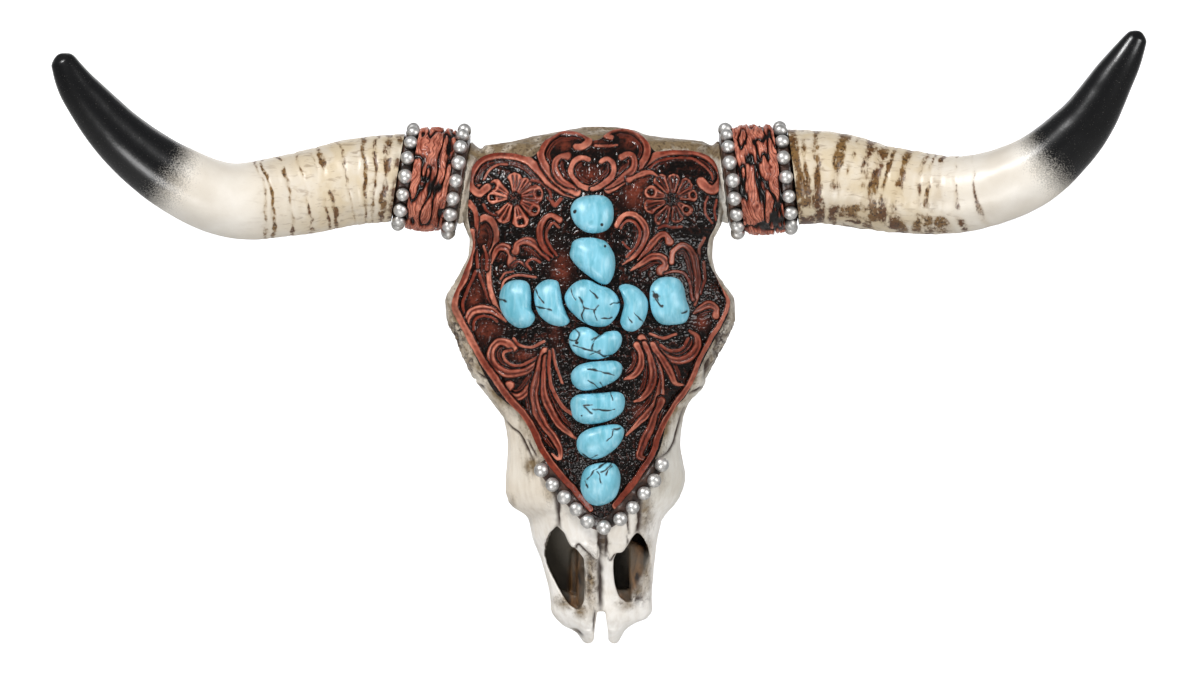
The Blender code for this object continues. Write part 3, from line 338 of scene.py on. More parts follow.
STONE_HEIGHTS = (0.9, 1.1)
STONE_SIDES = 210
STONE_RINGS = 60
STONE_INSET = 0.15
STONE_FOOT_SHARES = (0.9, 0.97)     # the foot of a stone: shares of its outline, and lifts
STONE_FOOT_LIFTS = (0.0, 0.12)
# Dark veins of the stones, in pixels
VEINS = {
    "stone_cross": (((571, 288), (573, 295), (576, 300)), ((580, 298), (583, 304), (585, 308),
     (596, 310)), ((590, 291), (598, 299)), ((610, 305), (620, 302)), ((598, 306), (594, 313),
     (597, 321)), ((585, 308), (582, 316), (586, 324)), ((564, 299), (569, 311), (577, 321)),
     ((601, 319), (611, 318))),
    "stone_shaft_3": (((600, 350), (590, 355)), ((592, 340), (603, 333)), ((573, 346), (590, 350),
     (600, 352)), ((600, 332), (594, 341), (592, 350)), ((592, 350), (606, 356), (616, 354)),
     ((570, 339), (574, 341), (578, 339), (579, 334), (575, 329))),
    "stone_shaft_4": (((588, 380), (600, 389)), ((600, 371), (607, 373), (614, 375)), ((588, 369),
     (600, 371)), ((600, 382), (604, 389))),
    "stone_shaft_5": (((585, 406), (592, 412)), ((592, 408), (604, 410), (614, 409)), ((610, 392),
     (612, 399)), ((584, 405), (592, 404))),
    "stone_shaft_6": (((606, 440), (611, 436), (613, 430)), ((583, 453), (590, 457), (598, 454)),
     ((612, 429), (620, 427))),
    "stone_shaft_7": (((588, 478), (593, 470), (598, 468)), ((598, 470), (601, 482)), ((597, 468),
     (604, 463), (609, 458)), ((601, 471), (608, 466), (612, 460)), ((605, 474), (611, 465)),
     ((586, 480), (588, 486))),
    "stone_arm_1": (((500, 300), (508, 302)),),
    "stone_arm_2": (((536, 290), (540, 297), (545, 303)), ((534, 306), (543, 308), (552, 310))),
    "stone_arm_3": (((633, 313), (638, 318), (644, 324)), ((627, 316), (631, 323))),
    "stone_arm_4": (((654, 300), (661, 307)), ((680, 313), (686, 311)), ((652, 292), (657, 301))),
}
# Pits: centre and radius in pixels
PITS = {
    "stone_shaft_1": ((575, 213, 2.0), (602, 226, 1.5)),
    "stone_shaft_2": ((605, 247, 1.4),),
    "stone_shaft_3": ((577, 343, 1.8),),
    "stone_arm_4": ((655, 297, 3.6), (661, 306, 1.2)),
    "stone_shaft_5": ((582, 415, 1.0),),
}
VEIN_WIDTH = 0.38
VEIN_DEPTH = 0.4
VEIN_DARK = 1.5

# Cuffs of the horns, as in the solids
CUFF_DEPTH = 36.0
BAND_HALF = 3.5
CUFFS = {
    "left": {"side": -1, "lean": 9.0, "inner": (-68.7, 58.1), "outer": (-92.7, 60.3),
             "wrap_radius": 24.8, "inner_band_radius": 23.6, "outer_band_radius": 21.4},
    "right": {"side": 1, "lean": 7.0, "inner": (62.9, 58.2), "outer": (88.5, 59.9),
              "wrap_radius": 26.4, "inner_band_radius": 23.6, "outer_band_radius": 22.6},
}
BAND_STATIONS = 20
BAND_SIDES = 220
BAND_SPREAD = 1.06          # the strip is this much wider than its beads
BAND_SUNK = 3.0
BAND_CROWN = 2.9
BEAD_RADIUS = 3.35
BEAD_RISE = 1.5
BEAD_SIZES = (0.95, 1.04)
BEAD_SHIFT = 0.35
BEAD_COUNTS = {"inner": 18, "outer": 16}
BEAD_UNEVEN = 0.16
BEAD_SEGMENTS = 22
BEAD_RINGS = 13
WRAP_STATIONS = 90
WRAP_SIDES = 260
WRAP_TUCK = 0.4             # how far a wrap reaches under the bands
WRAP_SUNK = 2.6
WRAP_CROWN = 1.2
WRAP_WINDINGS = 4.0
WRAP_THREADS = 13.0
WRAP_SEEDS = {"left": 100, "right": 110}
STRAND_RISE = 1.6
THREAD_RISE = 0.4

# Horns: x, depth in front of the wall, z and radius along each one, as in the solids
HORNS = {
    "left": ((-96.6, 36.2, 60.0, 21.6), (-117.7, 37.0, 57.9, 20.7), (-146.6, 40.0, 51.7, 19.6),
             (-175.8, 46.0, 48.9, 17.9), (-203.0, 54.0, 59.8, 16.0), (-226.6, 61.0, 77.4, 13.6),
             (-246.2, 66.5, 99.6, 9.8), (-254.6, 69.0, 113.5, 6.4), (-257.2, 70.0, 118.0, 3.6)),
    "right": ((92.4, 36.2, 60.2, 23.4), (110.8, 37.0, 59.6, 22.2), (142.1, 40.0, 53.6, 20.4),
              (173.8, 46.0, 52.0, 18.1), (204.0, 54.0, 61.6, 16.6), (228.0, 61.0, 82.2, 13.8),
              (245.2, 67.0, 109.0, 9.6), (253.9, 69.5, 124.0, 5.8), (256.6, 70.5, 128.8, 3.2)),
}
HORN_STATIONS = 300
HORN_SIDES = 96
HORN_CAP_RINGS = 10
HORN_CAP_BEND = 0.46 * math.pi      # how far round the end the rings go
HORN_POINT = 0.03           # the last point stands this far beyond them
HORN_SEEDS = {"left": 80, "right": 90}
HORN_EASE = 0.13            # share of a horn over which it turns out of its cuff's direction
RING_SPREAD = {"left": 0.1, "right": 1.0}   # how much wider the rings are on a horn's lower half
RING_WHOLE = {"left": 0.8, "right": 0.85}   # how unbroken the rings are
# Where each horn's brown rings fade out and its black tip fades in, as pixels across the photograph
RING_FADES = {"left": (330.0, 215.0), "right": (900.0, 1010.0)}
TIP_FADES = {"left": (196.0, 146.0), "right": (1024.0, 1068.0)}
# Brown rings: pixels across the photograph, half width in pixels, strength
RINGS = {
    "left": ((257, 2.0, 0.4), (264, 1.6, 0.75), (283, 1.8, 0.65), (301, 1.8, 0.7), (318, 1.3, 0.5),
     (326, 2.4, 0.85), (345, 1.4, 0.5), (364, 2.2, 0.8), (374, 1.8, 0.65), (385, 3.4, 0.9),
     (397, 5.0, 1.0)),
    "right": ((796, 5.0, 1.0), (806, 2.5, 0.8), (818, 3.5, 0.95), (839, 4.0, 0.9), (850, 1.8, 0.5),
     (864, 5.0, 0.95), (878, 5.0, 1.0), (889, 2.5, 0.8), (905, 4.0, 0.9), (925, 3.0, 0.65),
     (935, 2.0, 0.6), (946, 3.0, 0.8), (963, 2.0, 0.55), (983, 1.8, 0.35)),
}

# Strip of beads round the panel's point
TRIM_TOP_LEFT = -73.6
TRIM_TOP_RIGHT = -71.2
TRIM_INNER = -0.4
TRIM_OUTER = 6.9
TRIM_STATIONS = 220
TRIM_STEPS = 14
TRIM_RISE = 1.6
TRIM_SUNK = 0.6             # how far its edges lie in the bone
TRIM_BEAD_LIFT = 3.7
TRIM_BEAD_RADIUS = 3.4
TRIM_BEADS = (
    (542.7, 469.5), (553.4, 484), (565, 496.3), (576.7, 508.1), (587.8, 520.4), (603.7, 526.4),
    (619.3, 518), (631.6, 506.3), (642.7, 492.3), (652.5, 480), (659.9, 464.4),
)

# Lines in the bone, in pixels: width and depth in millimetres, points
BONE_LINES = (
    (0.60, 0.8, ((505, 420), (512, 428), (519, 433), (524, 441), (529, 452), (533, 460))),
    (0.55, 0.7, ((684, 408), (680, 420), (677, 430), (674, 442), (668, 452), (658, 459))),
    (1.00, 1.4, ((548, 478), (553, 488), (557, 500), (558, 515), (559, 529))),
    (1.10, 1.4, ((641, 492), (640, 510), (640, 522), (638, 536))),
    (0.60, 0.6, ((627, 508), (628, 524), (629, 533))),
    (1.30, 1.4, ((599.5, 528), (600.2, 545), (599.8, 558))),
    (0.90, 0.8, ((605, 530), (605.6, 545), (605, 556))),
    (1.15, 2.2, ((599, 556), (599.5, 575), (600, 595), (600.5, 612))),
    (0.55, 0.3, ((565, 536), (569, 545.5), (573.7, 550), (578.4, 544), (583.7, 549), (590, 555),
     (597, 561))),
    (0.55, 0.3, ((607, 556), (610.5, 561), (614.5, 555.5), (622.6, 554), (628, 545), (627, 536))),
    (0.80, 1.0, ((466, 365), (469, 372), (473, 379))),
    (0.55, 0.7, ((477, 372), (484, 377), (490, 379))),
    (0.70, 0.8, ((478, 384), (484, 388))),
    (0.90, 1.3, ((711, 356), (708, 366), (705, 378))),
    (0.70, 0.8, ((690, 393), (697, 390), (705, 386))),
    (0.50, 0.6, ((528, 440), (534, 452), (537, 457))),
    (0.80, 1.0, ((571, 631), (577, 634), (582, 637))),
    (0.65, 0.9, ((595, 612), (594, 622), (594, 632))),
    (0.45, 0.3, ((583, 562), (584.5, 580), (584, 600))),
)
# Stained places of the bone: centre in pixels, radius across and up, strength
BONE_STAINS = (
    ((505, 385), 20, 34, 0.7), ((525, 425), 8, 34, 0.5), ((676, 395), 15, 30, 0.7),
    ((658, 430), 6, 34, 0.45), ((533, 466), 9, 11, 1.0), ((645, 512), 9, 22, 0.8),
    ((660, 478), 9, 14, 0.4), ((603, 540), 4, 17, 1.0), ((591, 580), 7, 34, 0.85),
    ((581, 612), 8, 8, 0.85), ((626, 605), 10, 7, 0.85), ((646, 574), 6, 26, 0.75),
    ((568, 602), 15, 9, 0.8), ((636, 592), 14, 13, 0.75), ((575, 507), 16, 12, 0.25),
    ((550, 488), 7, 16, 0.7), ((466, 345), 10, 34, 0.7), ((718, 350), 10, 34, 0.5),
    ((512, 506), 5, 14, 0.35), ((556, 540), 6, 16, 0.5), ((648, 550), 5, 22, 0.45),
    ((600, 625), 8, 14, 0.3), ((575, 634), 7, 4, 0.7), ((640, 560), 8, 26, 1.0),
)
# Brown places inside the nostrils, where the rest is nearly black
NOSTRIL_BROWNS = (
    ((571, 588), 4, 24), ((578, 580), 5, 34), ((573, 604), 11, 9), ((641, 548), 10, 18),
    ((638, 584), 11, 28), ((620, 600), 8, 8),
)
# Stain along the top and beside the panel, and brown darkening on faces turned to the side: strength, and
# where it sets in
TOP_STAIN = 0.95
TOP_STAIN_HEIGHTS = (64.0, 71.0)
PANEL_STAIN = 0.8
PANEL_STAIN_REACH = 3.2
SIDE_DARKENING = 0.55
SIDE_DARKENING_HEIGHTS = (-48.0, -22.0)
# The bone turns cooler from left to right, and is painted paler towards the muzzle: painted light on the
# muzzle, which faces down away from the key light
COOL_PLACES = (-25.0, 25.0)
MUZZLE_LIGHT_HEIGHTS = (-88.0, -108.0)
# Places where the bone is pitted like lava: centre in pixels, radius across and up, strength
PITTED = (((458, 330), 12, 34), ((466, 362), 8, 14), ((722, 335), 12, 34), ((714, 366), 8, 12),
          ((592, 578), 6, 26, 0.8), ((571, 603), 12, 6, 0.8), ((634, 600), 13, 6, 0.8),
          ((648, 516), 5, 16, 0.35))


# Curves and surfaces

def from_photo(points):
    """Pixels of the photograph as x and z in millimetres."""
    points = np.array(points, float)
    return (points - MIDDLE_PIXEL) * (PIXEL, -PIXEL)


def smooth_step(low, high, value):
    share = np.clip((value - low) / (high - low), 0, 1)
    return share * share * (3 - 2 * share)


def smooth_values(table, column, heights):
    """Read one column of a table at many heights, along a curve that never overshoots its points."""
    rows = np.array(sorted(table), float)
    xs, ys = rows[:, 0], rows[:, column]
    heights = np.clip(heights, xs[0], xs[-1])
    rises = np.diff(ys) / np.diff(xs)
    slopes = np.zeros(len(xs))
    before, after = rises[:-1], rises[1:]
    turning = before * after > 0
    total = np.where(turning, before + after, 1.0)
    slopes[1:-1] = np.where(turning, 2 * before * after / total, 0.0)
    i = np.clip(np.searchsorted(xs, heights) - 1, 0, len(xs) - 2)
    step = xs[i + 1] - xs[i]
    t = (heights - xs[i]) / step
    value = (2 * t ** 3 - 3 * t ** 2 + 1) * ys[i]
    value += (t ** 3 - 2 * t ** 2 + t) * step * slopes[i]
    value += (3 * t ** 2 - 2 * t ** 3) * ys[i + 1]
    return value + (t ** 3 - t ** 2) * step * slopes[i + 1]


def spline(points, count, closed=False):
    """Points evenly spaced along a Catmull-Rom curve through the given ones."""
    given = np.array(points, float)
    if closed:
        ends = np.vstack([given[-1], given, given[0], given[1]])
    else:
        ends = np.vstack([2 * given[0] - given[1], given, 2 * given[-1] - given[-2]])
    t = np.linspace(0, 1, 24, endpoint=False)[:, None]
    dense = []
    for i in range(1, len(ends) - 2):
        a, b, c, d = ends[i - 1:i + 3]
        curve = 2 * b + (c - a) * t + (2 * a - 5 * b + 4 * c - d) * t ** 2
        dense.append(0.5 * (curve + (3 * b - a - 3 * c + d) * t ** 3))
    dense = np.vstack(dense + [ends[-2]])
    lengths = np.concatenate([[0], np.cumsum(np.linalg.norm(np.diff(dense, axis=0), axis=1))])
    stops = np.linspace(0, lengths[-1], count, endpoint=not closed)
    return np.column_stack([np.interp(stops, lengths, column) for column in dense.T])


def front_depth(x, z):
    """How far the bone's front stands before the wall."""
    left = smooth_values(SKULL_SIDES, 1, z)
    right = smooth_values(SKULL_SIDES, 2, z)
    crown = smooth_values(SKULL_DEPTHS, 1, z)
    rim = smooth_values(SKULL_DEPTHS, 2, z)
    share = np.minimum(np.abs(x) / np.where(x < 0, left, right), 1.0)
    return rim + (crown - rim) * (1 - share ** CROWN_POWER)


def unit(vectors):
    """Vectors of length one, in the same directions."""
    return vectors / np.maximum(np.linalg.norm(vectors, axis=-1, keepdims=True), 1e-6)


def on_front(x, z, lift):
    """Points lifted off the bone's front, leaning only a little with its slope."""
    step = SLOPE_STEP
    slope_x = (front_depth(x + step, z) - front_depth(x - step, z)) / (2 * step)
    slope_z = (front_depth(x, z + step) - front_depth(x, z - step)) / (2 * step)
    direction = unit(np.stack([-LIFT_LEAN * slope_x, -np.ones_like(x), -LIFT_LEAN * slope_z], -1))
    return np.stack([x, -front_depth(x, z), z], -1) + np.asarray(lift)[..., None] * direction


def in_space(places):
    """Places in the plane as points in space, for the noise."""
    return np.column_stack([places[:, 0], np.zeros(len(places)), places[:, 1]])


def noise(points, size, seed):
    """Smooth random values from -1 to 1, with bumps about a size apart."""
    lattice = np.random.default_rng(seed).uniform(-1, 1, (NOISE_CELLS,) * 3)
    place = points / size + seed * NOISE_SHIFT
    low = np.floor(place).astype(int)
    share = place - low
    share = share * share * (3 - 2 * share)
    total = 0.0
    for corner in np.ndindex(2, 2, 2):
        weight = np.prod(np.where(corner, share, 1 - share), axis=-1)
        i, j, k = np.moveaxis((low + corner) % NOISE_CELLS, -1, 0)
        total = total + weight * lattice[i, j, k]
    return total


def rough_noise(points, size, seed, layers=3):
    """Noise with finer and weaker noise on it."""
    total = 0.0
    for k in range(layers):
        total = total + noise(points, size / 2 ** k, seed + k) / 2 ** k
    return total / 1.5


def stipple(places, cell, seed):
    """Small round bumps from 0 to 1, about one to a cell of the plane."""
    rng = np.random.default_rng(seed)
    shifts = rng.uniform(0.1, 0.9, (STIPPLE_CELLS, STIPPLE_CELLS, 2))
    sizes = rng.uniform(0.35, 1.0, (STIPPLE_CELLS, STIPPLE_CELLS))
    place = places / cell
    low = np.floor(place).astype(int)
    best = np.zeros(place.shape[:-1])
    for near in np.ndindex(3, 3):
        square = low + near - 1
        i, j = np.moveaxis(square % STIPPLE_CELLS, -1, 0)
        away = np.linalg.norm(place - square - shifts[i, j], axis=-1) / STIPPLE_RADIUS
        best = np.maximum(best, sizes[i, j] * np.clip(1 - away ** 2, 0, 1))
    return best


def distance_to_line(places, line):
    """For places in the plane: distance to a line, side of it, and share of the way along it."""
    best = np.full(len(places), np.inf)
    side = np.zeros(len(places))
    along = np.zeros(len(places))
    total = np.linalg.norm(np.diff(line, axis=0), axis=1).sum()
    gone = 0.0
    for start, end in zip(line, line[1:]):
        run = end - start
        length = np.hypot(*run)
        away = places - start
        t = np.clip(away @ run / length ** 2, 0, 1)
        distance = np.linalg.norm(away - t[:, None] * run, axis=1)
        closer = distance < best
        best[closer] = distance[closer]
        side[closer] = np.sign(run[0] * away[closer, 1] - run[1] * away[closer, 0])
        along[closer] = (gone + t[closer] * length) / total
        gone += length
    return best, side, along


def near_line(places, line, reach):
    """Which places lie in a line's box, made larger by a reach."""
    low, high = line.min(axis=0) - reach, line.max(axis=0) + reach
    return np.nonzero(((places > low) & (places < high)).all(axis=1))[0]


def inside(places, outline):
    """Which places lie inside a closed outline."""
    within = np.zeros(len(places), bool)
    for (x1, z1), (x2, z2) in zip(outline, np.roll(outline, -1, axis=0)):
        crosses = (places[:, 1] > z1) != (places[:, 1] > z2)
        at = x1 + (x2 - x1) * (places[:, 1] - z1) / (z2 - z1 if z2 != z1 else 1.0)
        within ^= crosses & (places[:, 0] < at)
    return within


def blob(places, centre, across, up):
    """1 at the middle of an oval given in pixels, falling softly to 0 outside it."""
    middle = from_photo(centre)
    away = (places - middle) / (across * PIXEL, up * PIXEL)
    return np.exp(-1.2 * (away ** 2).sum(axis=-1))


def blur(values, cells):
    """Soften a grid of values over about as many cells either way."""
    reach = int(3 * cells)
    weights = np.exp(-0.5 * (np.arange(-reach, reach + 1) / cells) ** 2)
    weights /= weights.sum()
    for axis in (0, 1):
        widths = [(reach, reach) if k == axis else (0, 0) for k in (0, 1)]
        padded = np.pad(values, widths, mode="edge")
        values = np.apply_along_axis(np.convolve, axis, padded, weights, "valid")
    return values


# Meshes

def add_object(name, verts, faces, slot, material):
    """Make a smooth piece from points in millimetres and ride it on the plaque."""
    mesh = bpy.data.meshes.new(name)
    mesh.from_pydata((np.asarray(verts) * MM).tolist(), [], faces)
    mesh.shade_smooth()
    mesh.materials.append(material)
    made = bpy.data.objects.new(name, mesh)
    bpy.context.scene.collection.objects.link(made)
    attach(made, "root")
    return made


def grid_faces(rows, columns, closed=False):
    """Four-sided faces over a grid of points, joined round if it is closed."""
    across = columns if closed else columns - 1
    r, c = np.meshgrid(np.arange(rows - 1), np.arange(across), indexing="ij")
    d = (c + 1) % columns
    faces = np.stack([r * columns + c, r * columns + d, (r + 1) * columns + d, (r + 1) * columns + c], -1)
    return faces.reshape(-1, 4).tolist()


def set_values(made, name, values):
    """Keep one number for each point of a piece, for its material."""
    layer = made.data.attributes.new(name, "FLOAT", "POINT")
    layer.data.foreach_set("value", np.ascontiguousarray(values, np.float32).ravel())


def points_of(mesh):
    """A mesh's points in millimetres, and which way it faces at each."""
    count = len(mesh.vertices)
    places, facing = np.zeros(count * 3), np.zeros(count * 3)
    mesh.vertices.foreach_get("co", places)
    mesh.vertices.foreach_get("normal", facing)
    return places.reshape(-1, 3) / MM, facing.reshape(-1, 3)


def dome_rings(outline, shares, inset=0.0):
    """The outline drawn in towards its middle, once for each share."""
    centre = outline.mean(axis=0)
    spokes = outline - centre
    lengths = np.linalg.norm(spokes, axis=1, keepdims=True)
    edge = centre + spokes * (1 - inset / lengths)
    return np.stack([centre + (edge - centre) * share for share in shares])


def fan_faces(first, count, top):
    """Three-sided faces from a ring of points to one point."""
    return [[first + k, first + (k + 1) % count, top] for k in range(count)]


def end_faces(rings, count):
    """The two many-sided faces that close a tube of rings."""
    return [list(range(count))[::-1], [(rings - 1) * count + k for k in range(count)]]


def closed_plate(outline, top_depth, thickness, rounding):
    """Points and faces of a plate whose front follows a depth function."""
    shares = [1.0] + [share for share, _ in PLATE_ROUNDING]
    drops = [thickness] + [rounding * sunk for _, sunk in PLATE_ROUNDING]
    verts = []
    for ring, drop in zip(dome_rings(outline, shares), drops):
        depth = top_depth(ring[:, 0], ring[:, 1]) - drop
        verts.append(np.column_stack([ring[:, 0], -depth, ring[:, 1]]))
    count = len(outline)
    faces = grid_faces(len(shares), count, closed=True) + end_faces(len(shares), count)
    return np.vstack(verts), faces


def join_parts(parts):
    """Several sets of points and faces as one."""
    verts, faces, shift = [], [], 0
    for part_verts, part_faces in parts:
        verts.append(part_verts)
        faces.extend([k + shift for k in face] for face in part_faces)
        shift += len(part_verts)
    return np.vstack(verts), faces


# Materials

class Paint:
    """A procedural material, built up node by node."""

    def __init__(self, name, **values):
        self.material = bpy.data.materials.new(name)
        self.material.use_nodes = True
        self.tree = self.material.node_tree
        self.shader = self.tree.nodes["Principled BSDF"]
        for socket, value in values.items():
            self.shader.inputs[socket.replace("_", " ")].default_value = value

    def node(self, kind, inputs=None, **settings):
        made = self.tree.nodes.new(kind)
        for name, value in settings.items():
            setattr(made, name, value)
        for socket, value in (inputs or {}).items():
            self.connect(value, made.inputs[socket])
        return made

    def connect(self, value, socket):
        if isinstance(value, bpy.types.NodeSocket):
            self.tree.links.new(value, socket)
        else:
            socket.default_value = value

    def value(self, name):
        """One of the numbers that set_values kept for each point."""
        return self.node("ShaderNodeAttribute", attribute_name=name).outputs["Fac"]

    def noise(self, scale, detail=3.0, stretch=(1, 1, 1), warp=0.0):
        """Noise over the piece's own coordinates, with bumps about 1 / scale metres apart."""
        place = self.node("ShaderNodeTexCoord").outputs["Object"]
        if stretch != (1, 1, 1):
            place = self.node("ShaderNodeMapping", {"Vector": place, "Scale": stretch}).outputs[0]
        made = self.node("ShaderNodeTexNoise", {"Vector": place, "Scale": scale, "Detail": detail,
                                                "Distortion": warp})
        return made.outputs["Fac"]

    def math(self, operation, a, b=0.0):
        return self.node("ShaderNodeMath", {0: a, 1: b}, operation=operation).outputs[0]

    def ramp(self, value, low, high, start=0.0, end=1.0):
        """A number turned from one range into another, and kept within it."""
        made = self.node("ShaderNodeMapRange", {"Value": value, "From Min": low, "From Max": high,
                                                "To Min": start, "To Max": end})
        return made.outputs["Result"]

    def patches(self, scale, low, high, detail=3.0, start=0.0, end=1.0, **settings):
        """Noise turned into patches: the start below one level, the end above the other."""
        return self.ramp(self.noise(scale, detail, **settings), low, high, start, end)

    def mix(self, factor, a, b):
        made = self.node("ShaderNodeMix", data_type="RGBA")
        self.connect(factor, made.inputs[0])
        self.connect(a, made.inputs[6])
        self.connect(b, made.inputs[7])
        return made.outputs[2]

    def over(self, colour, tint, *amounts):
        """A tint laid over a colour, as strongly as its amounts multiplied."""
        strength = amounts[0]
        for amount in amounts[1:]:
            strength = self.math("MULTIPLY", strength, amount)
        return self.mix(strength, colour, tint)

    def bump(self, height, distance, strength):
        made = self.node("ShaderNodeBump", {"Height": height, "Distance": distance, "Strength": strength})
        self.connect(made.outputs["Normal"], self.shader.inputs["Normal"])

    def finish(self, colour, roughness=None):
        self.connect(colour, self.shader.inputs["Base Color"])
        if roughness is not None:
            self.connect(roughness, self.shader.inputs["Roughness"])
        return self.material


def rgb(red, green, blue):
    """A colour as the photograph gives it, as Blender wants it."""
    linear = []
    for channel in (red, green, blue):
        share = channel / 255
        linear.append(share / 12.92 if share <= 0.04045 else ((share + 0.055) / 1.055) ** 2.4)
    return (*linear, 1.0)


def bone_paint():
    """Matt bone colour with brown wash in its cracks, and the unpainted cast back."""
    paint = Paint("bone_paint", Coat_Weight=0.12, Coat_Roughness=0.3)
    stained = paint.value("stain")
    broad = paint.patches(55.0, 0.35, 0.65, 4.0)
    warm = paint.mix(broad, rgb(224, 211, 192), rgb(238, 229, 214))
    cool = paint.mix(broad, rgb(216, 211, 200), rgb(230, 226, 217))
    # The pale colour is painted light on the muzzle, a lighter copy of the bone colour.
    pale = paint.mix(broad, rgb(240, 233, 222), rgb(250, 246, 240))
    colour = paint.mix(paint.value("cool"), warm, cool)
    colour = paint.mix(paint.value("pale"), colour, pale)
    grain = paint.patches(420.0, 0.42, 0.75, 4.0, stretch=(1, 1, 0.22))
    colour = paint.over(colour, rgb(176, 156, 128), grain, 0.25)
    blotch = paint.patches(150.0, 0.3, 0.7, 5.0, warp=0.6)
    blotch = paint.math("MULTIPLY", stained, paint.math("ADD", blotch, 0.35))
    colour = paint.over(colour, rgb(132, 112, 82), paint.ramp(blotch, 0.08, 0.8))
    streak = paint.patches(500.0, 0.5, 0.68, 4.0, stretch=(1, 1, 0.15))
    colour = paint.over(colour, rgb(84, 66, 44), streak, stained, 0.7)
    speck = paint.patches(900.0, 0.56, 0.68, 2.0)
    colour = paint.over(colour, rgb(78, 58, 38), speck, stained)
    pit = paint.patches(480.0, 0.46, 0.58, warp=0.8)
    colour = paint.over(colour, rgb(48, 34, 24), pit, paint.value("pits"))
    colour = paint.over(colour, rgb(56, 38, 27), paint.value("wash"))
    dirt = paint.patches(260.0, 0.36, 0.66, 5.0, stretch=(1, 1, 0.4), warp=0.5)
    brown = paint.mix(dirt, rgb(30, 18, 10), rgb(150, 110, 70))
    hole = paint.mix(paint.value("brown"), rgb(92, 86, 75), brown)
    colour = paint.over(colour, hole, paint.value("dark"))
    colour = paint.over(colour, rgb(214, 210, 202), paint.value("back"))
    paint.bump(paint.noise(650.0, 4.0), 0.0004, 0.35)
    return paint.finish(colour, paint.ramp(paint.value("dark"), 0.0, 1.0, 0.46, 0.6))


def leather_paint():
    """Red-brown on the raised work, near-black varnish in the ground."""
    paint = Paint("leather_paint", Coat_Weight=0.21, Coat_Roughness=0.11, Specular_IOR_Level=0.2)
    red = paint.mix(paint.patches(70.0, 0.36, 0.64), rgb(122, 44, 26), rgb(146, 68, 50))
    streak = paint.patches(520.0, 0.4, 0.7, 4.0, warp=0.4)
    red = paint.over(red, rgb(58, 22, 14), streak, 0.65)
    # The pink laid over the ridges is partly dry-brushed paint and partly painted highlight.
    ridge_rub_and_highlight = paint.ramp(paint.value("ridge_rub_and_highlight"), 0.1, 0.85)
    uneven = paint.patches(300.0, 0.35, 0.6, 4.0, start=0.35)
    red = paint.over(red, rgb(226, 144, 118), ridge_rub_and_highlight, uneven, 0.8)
    speck = paint.patches(1100.0, 0.5, 0.75, 2.0)
    ground = paint.mix(speck, rgb(6, 3, 2), rgb(32, 20, 14))
    ground = paint.over(ground, rgb(118, 54, 38), paint.value("field"), 0.9)
    colour = paint.mix(paint.value("red"), ground, red)
    colour = paint.over(colour, rgb(9, 5, 3), paint.value("wash"))
    paint.bump(paint.noise(1500.0), 0.0002, 0.3)
    return paint.finish(colour, paint.ramp(paint.value("red"), 0.0, 1.0, 0.24, 0.42))


def strip_paint():
    """Dark brown leather under the beads."""
    paint = Paint("strip_paint", Coat_Weight=0.25, Coat_Roughness=0.2)
    blotch = paint.patches(260.0, 0.35, 0.68, 4.0, warp=0.5)
    colour = paint.mix(blotch, rgb(26, 17, 12), rgb(84, 53, 38))
    paint.bump(paint.noise(800.0, 4.0), 0.0004, 0.5)
    return paint.finish(colour, paint.ramp(blotch, 0.0, 1.0, 0.34, 0.5))


def horn_paint():
    """Cream horn with brown in its rings, and an airbrushed black tip."""
    paint = Paint("horn_paint", Coat_Weight=0.3, Coat_Roughness=0.3, Specular_IOR_Level=0.4)
    colour = paint.mix(paint.patches(45.0, 0.35, 0.65, 4.0), rgb(219, 210, 196), rgb(236, 230, 220))
    patch = paint.patches(90.0, 0.28, 0.6, 4.0, start=0.25, warp=0.4)
    colour = paint.over(colour, rgb(208, 188, 152), paint.value("base"), patch, 0.8)
    scratch = paint.patches(520.0, 0.55, 0.7, 5.0, stretch=(0.3, 1, 1), warp=0.7)
    colour = paint.over(colour, rgb(120, 90, 58), scratch, paint.value("base"), 0.5)
    halo = paint.ramp(paint.value("rings"), 0.02, 0.4)
    colour = paint.over(colour, rgb(168, 140, 96), halo, 0.3)
    feather = paint.patches(560.0, 0.32, 0.68, 4.0, 0.4, 1.35, stretch=(1.6, 1, 0.45))
    blotch = paint.patches(170.0, 0.34, 0.6, 5.0, warp=0.6)
    worn = paint.math("MULTIPLY", paint.value("rings"), feather)
    worn = paint.math("MULTIPLY", worn, paint.math("ADD", blotch, 0.25))
    ring = paint.ramp(worn, 0.16, 0.5)
    brown = paint.mix(paint.patches(60.0, 0.4, 0.6, 2.0), rgb(94, 57, 22), rgb(126, 94, 50))
    colour = paint.over(colour, brown, ring)
    speck = paint.patches(800.0, 0.5, 0.62, 2.0)
    colour = paint.over(colour, rgb(48, 30, 16), speck, ring, 0.8)
    grain = paint.patches(1700.0, 0.3, 0.7, start=-0.2, end=0.2)
    tip = paint.ramp(paint.math("ADD", paint.value("tip"), grain), 0.16, 0.84)
    colour = paint.over(colour, rgb(4, 4, 5), tip)
    paint.bump(paint.noise(900.0), 0.0002, 0.3)
    return paint.finish(colour, paint.ramp(tip, 0.0, 1.0, 0.4, 0.27))


def pewter_paint():
    """Worn silver paint, darker near the leather."""
    paint = Paint("pewter_paint", Metallic=0.85)
    worn = paint.patches(700.0, 0.4, 0.72, 4.0)
    colour = paint.mix(worn, rgb(224, 222, 219), rgb(176, 173, 168))
    colour = paint.over(colour, rgb(52, 44, 38), paint.value("wash"))
    paint.bump(paint.noise(900.0, 4.0), 0.0003, 0.25)
    return paint.finish(colour, paint.ramp(worn, 0.0, 1.0, 0.44, 0.54))


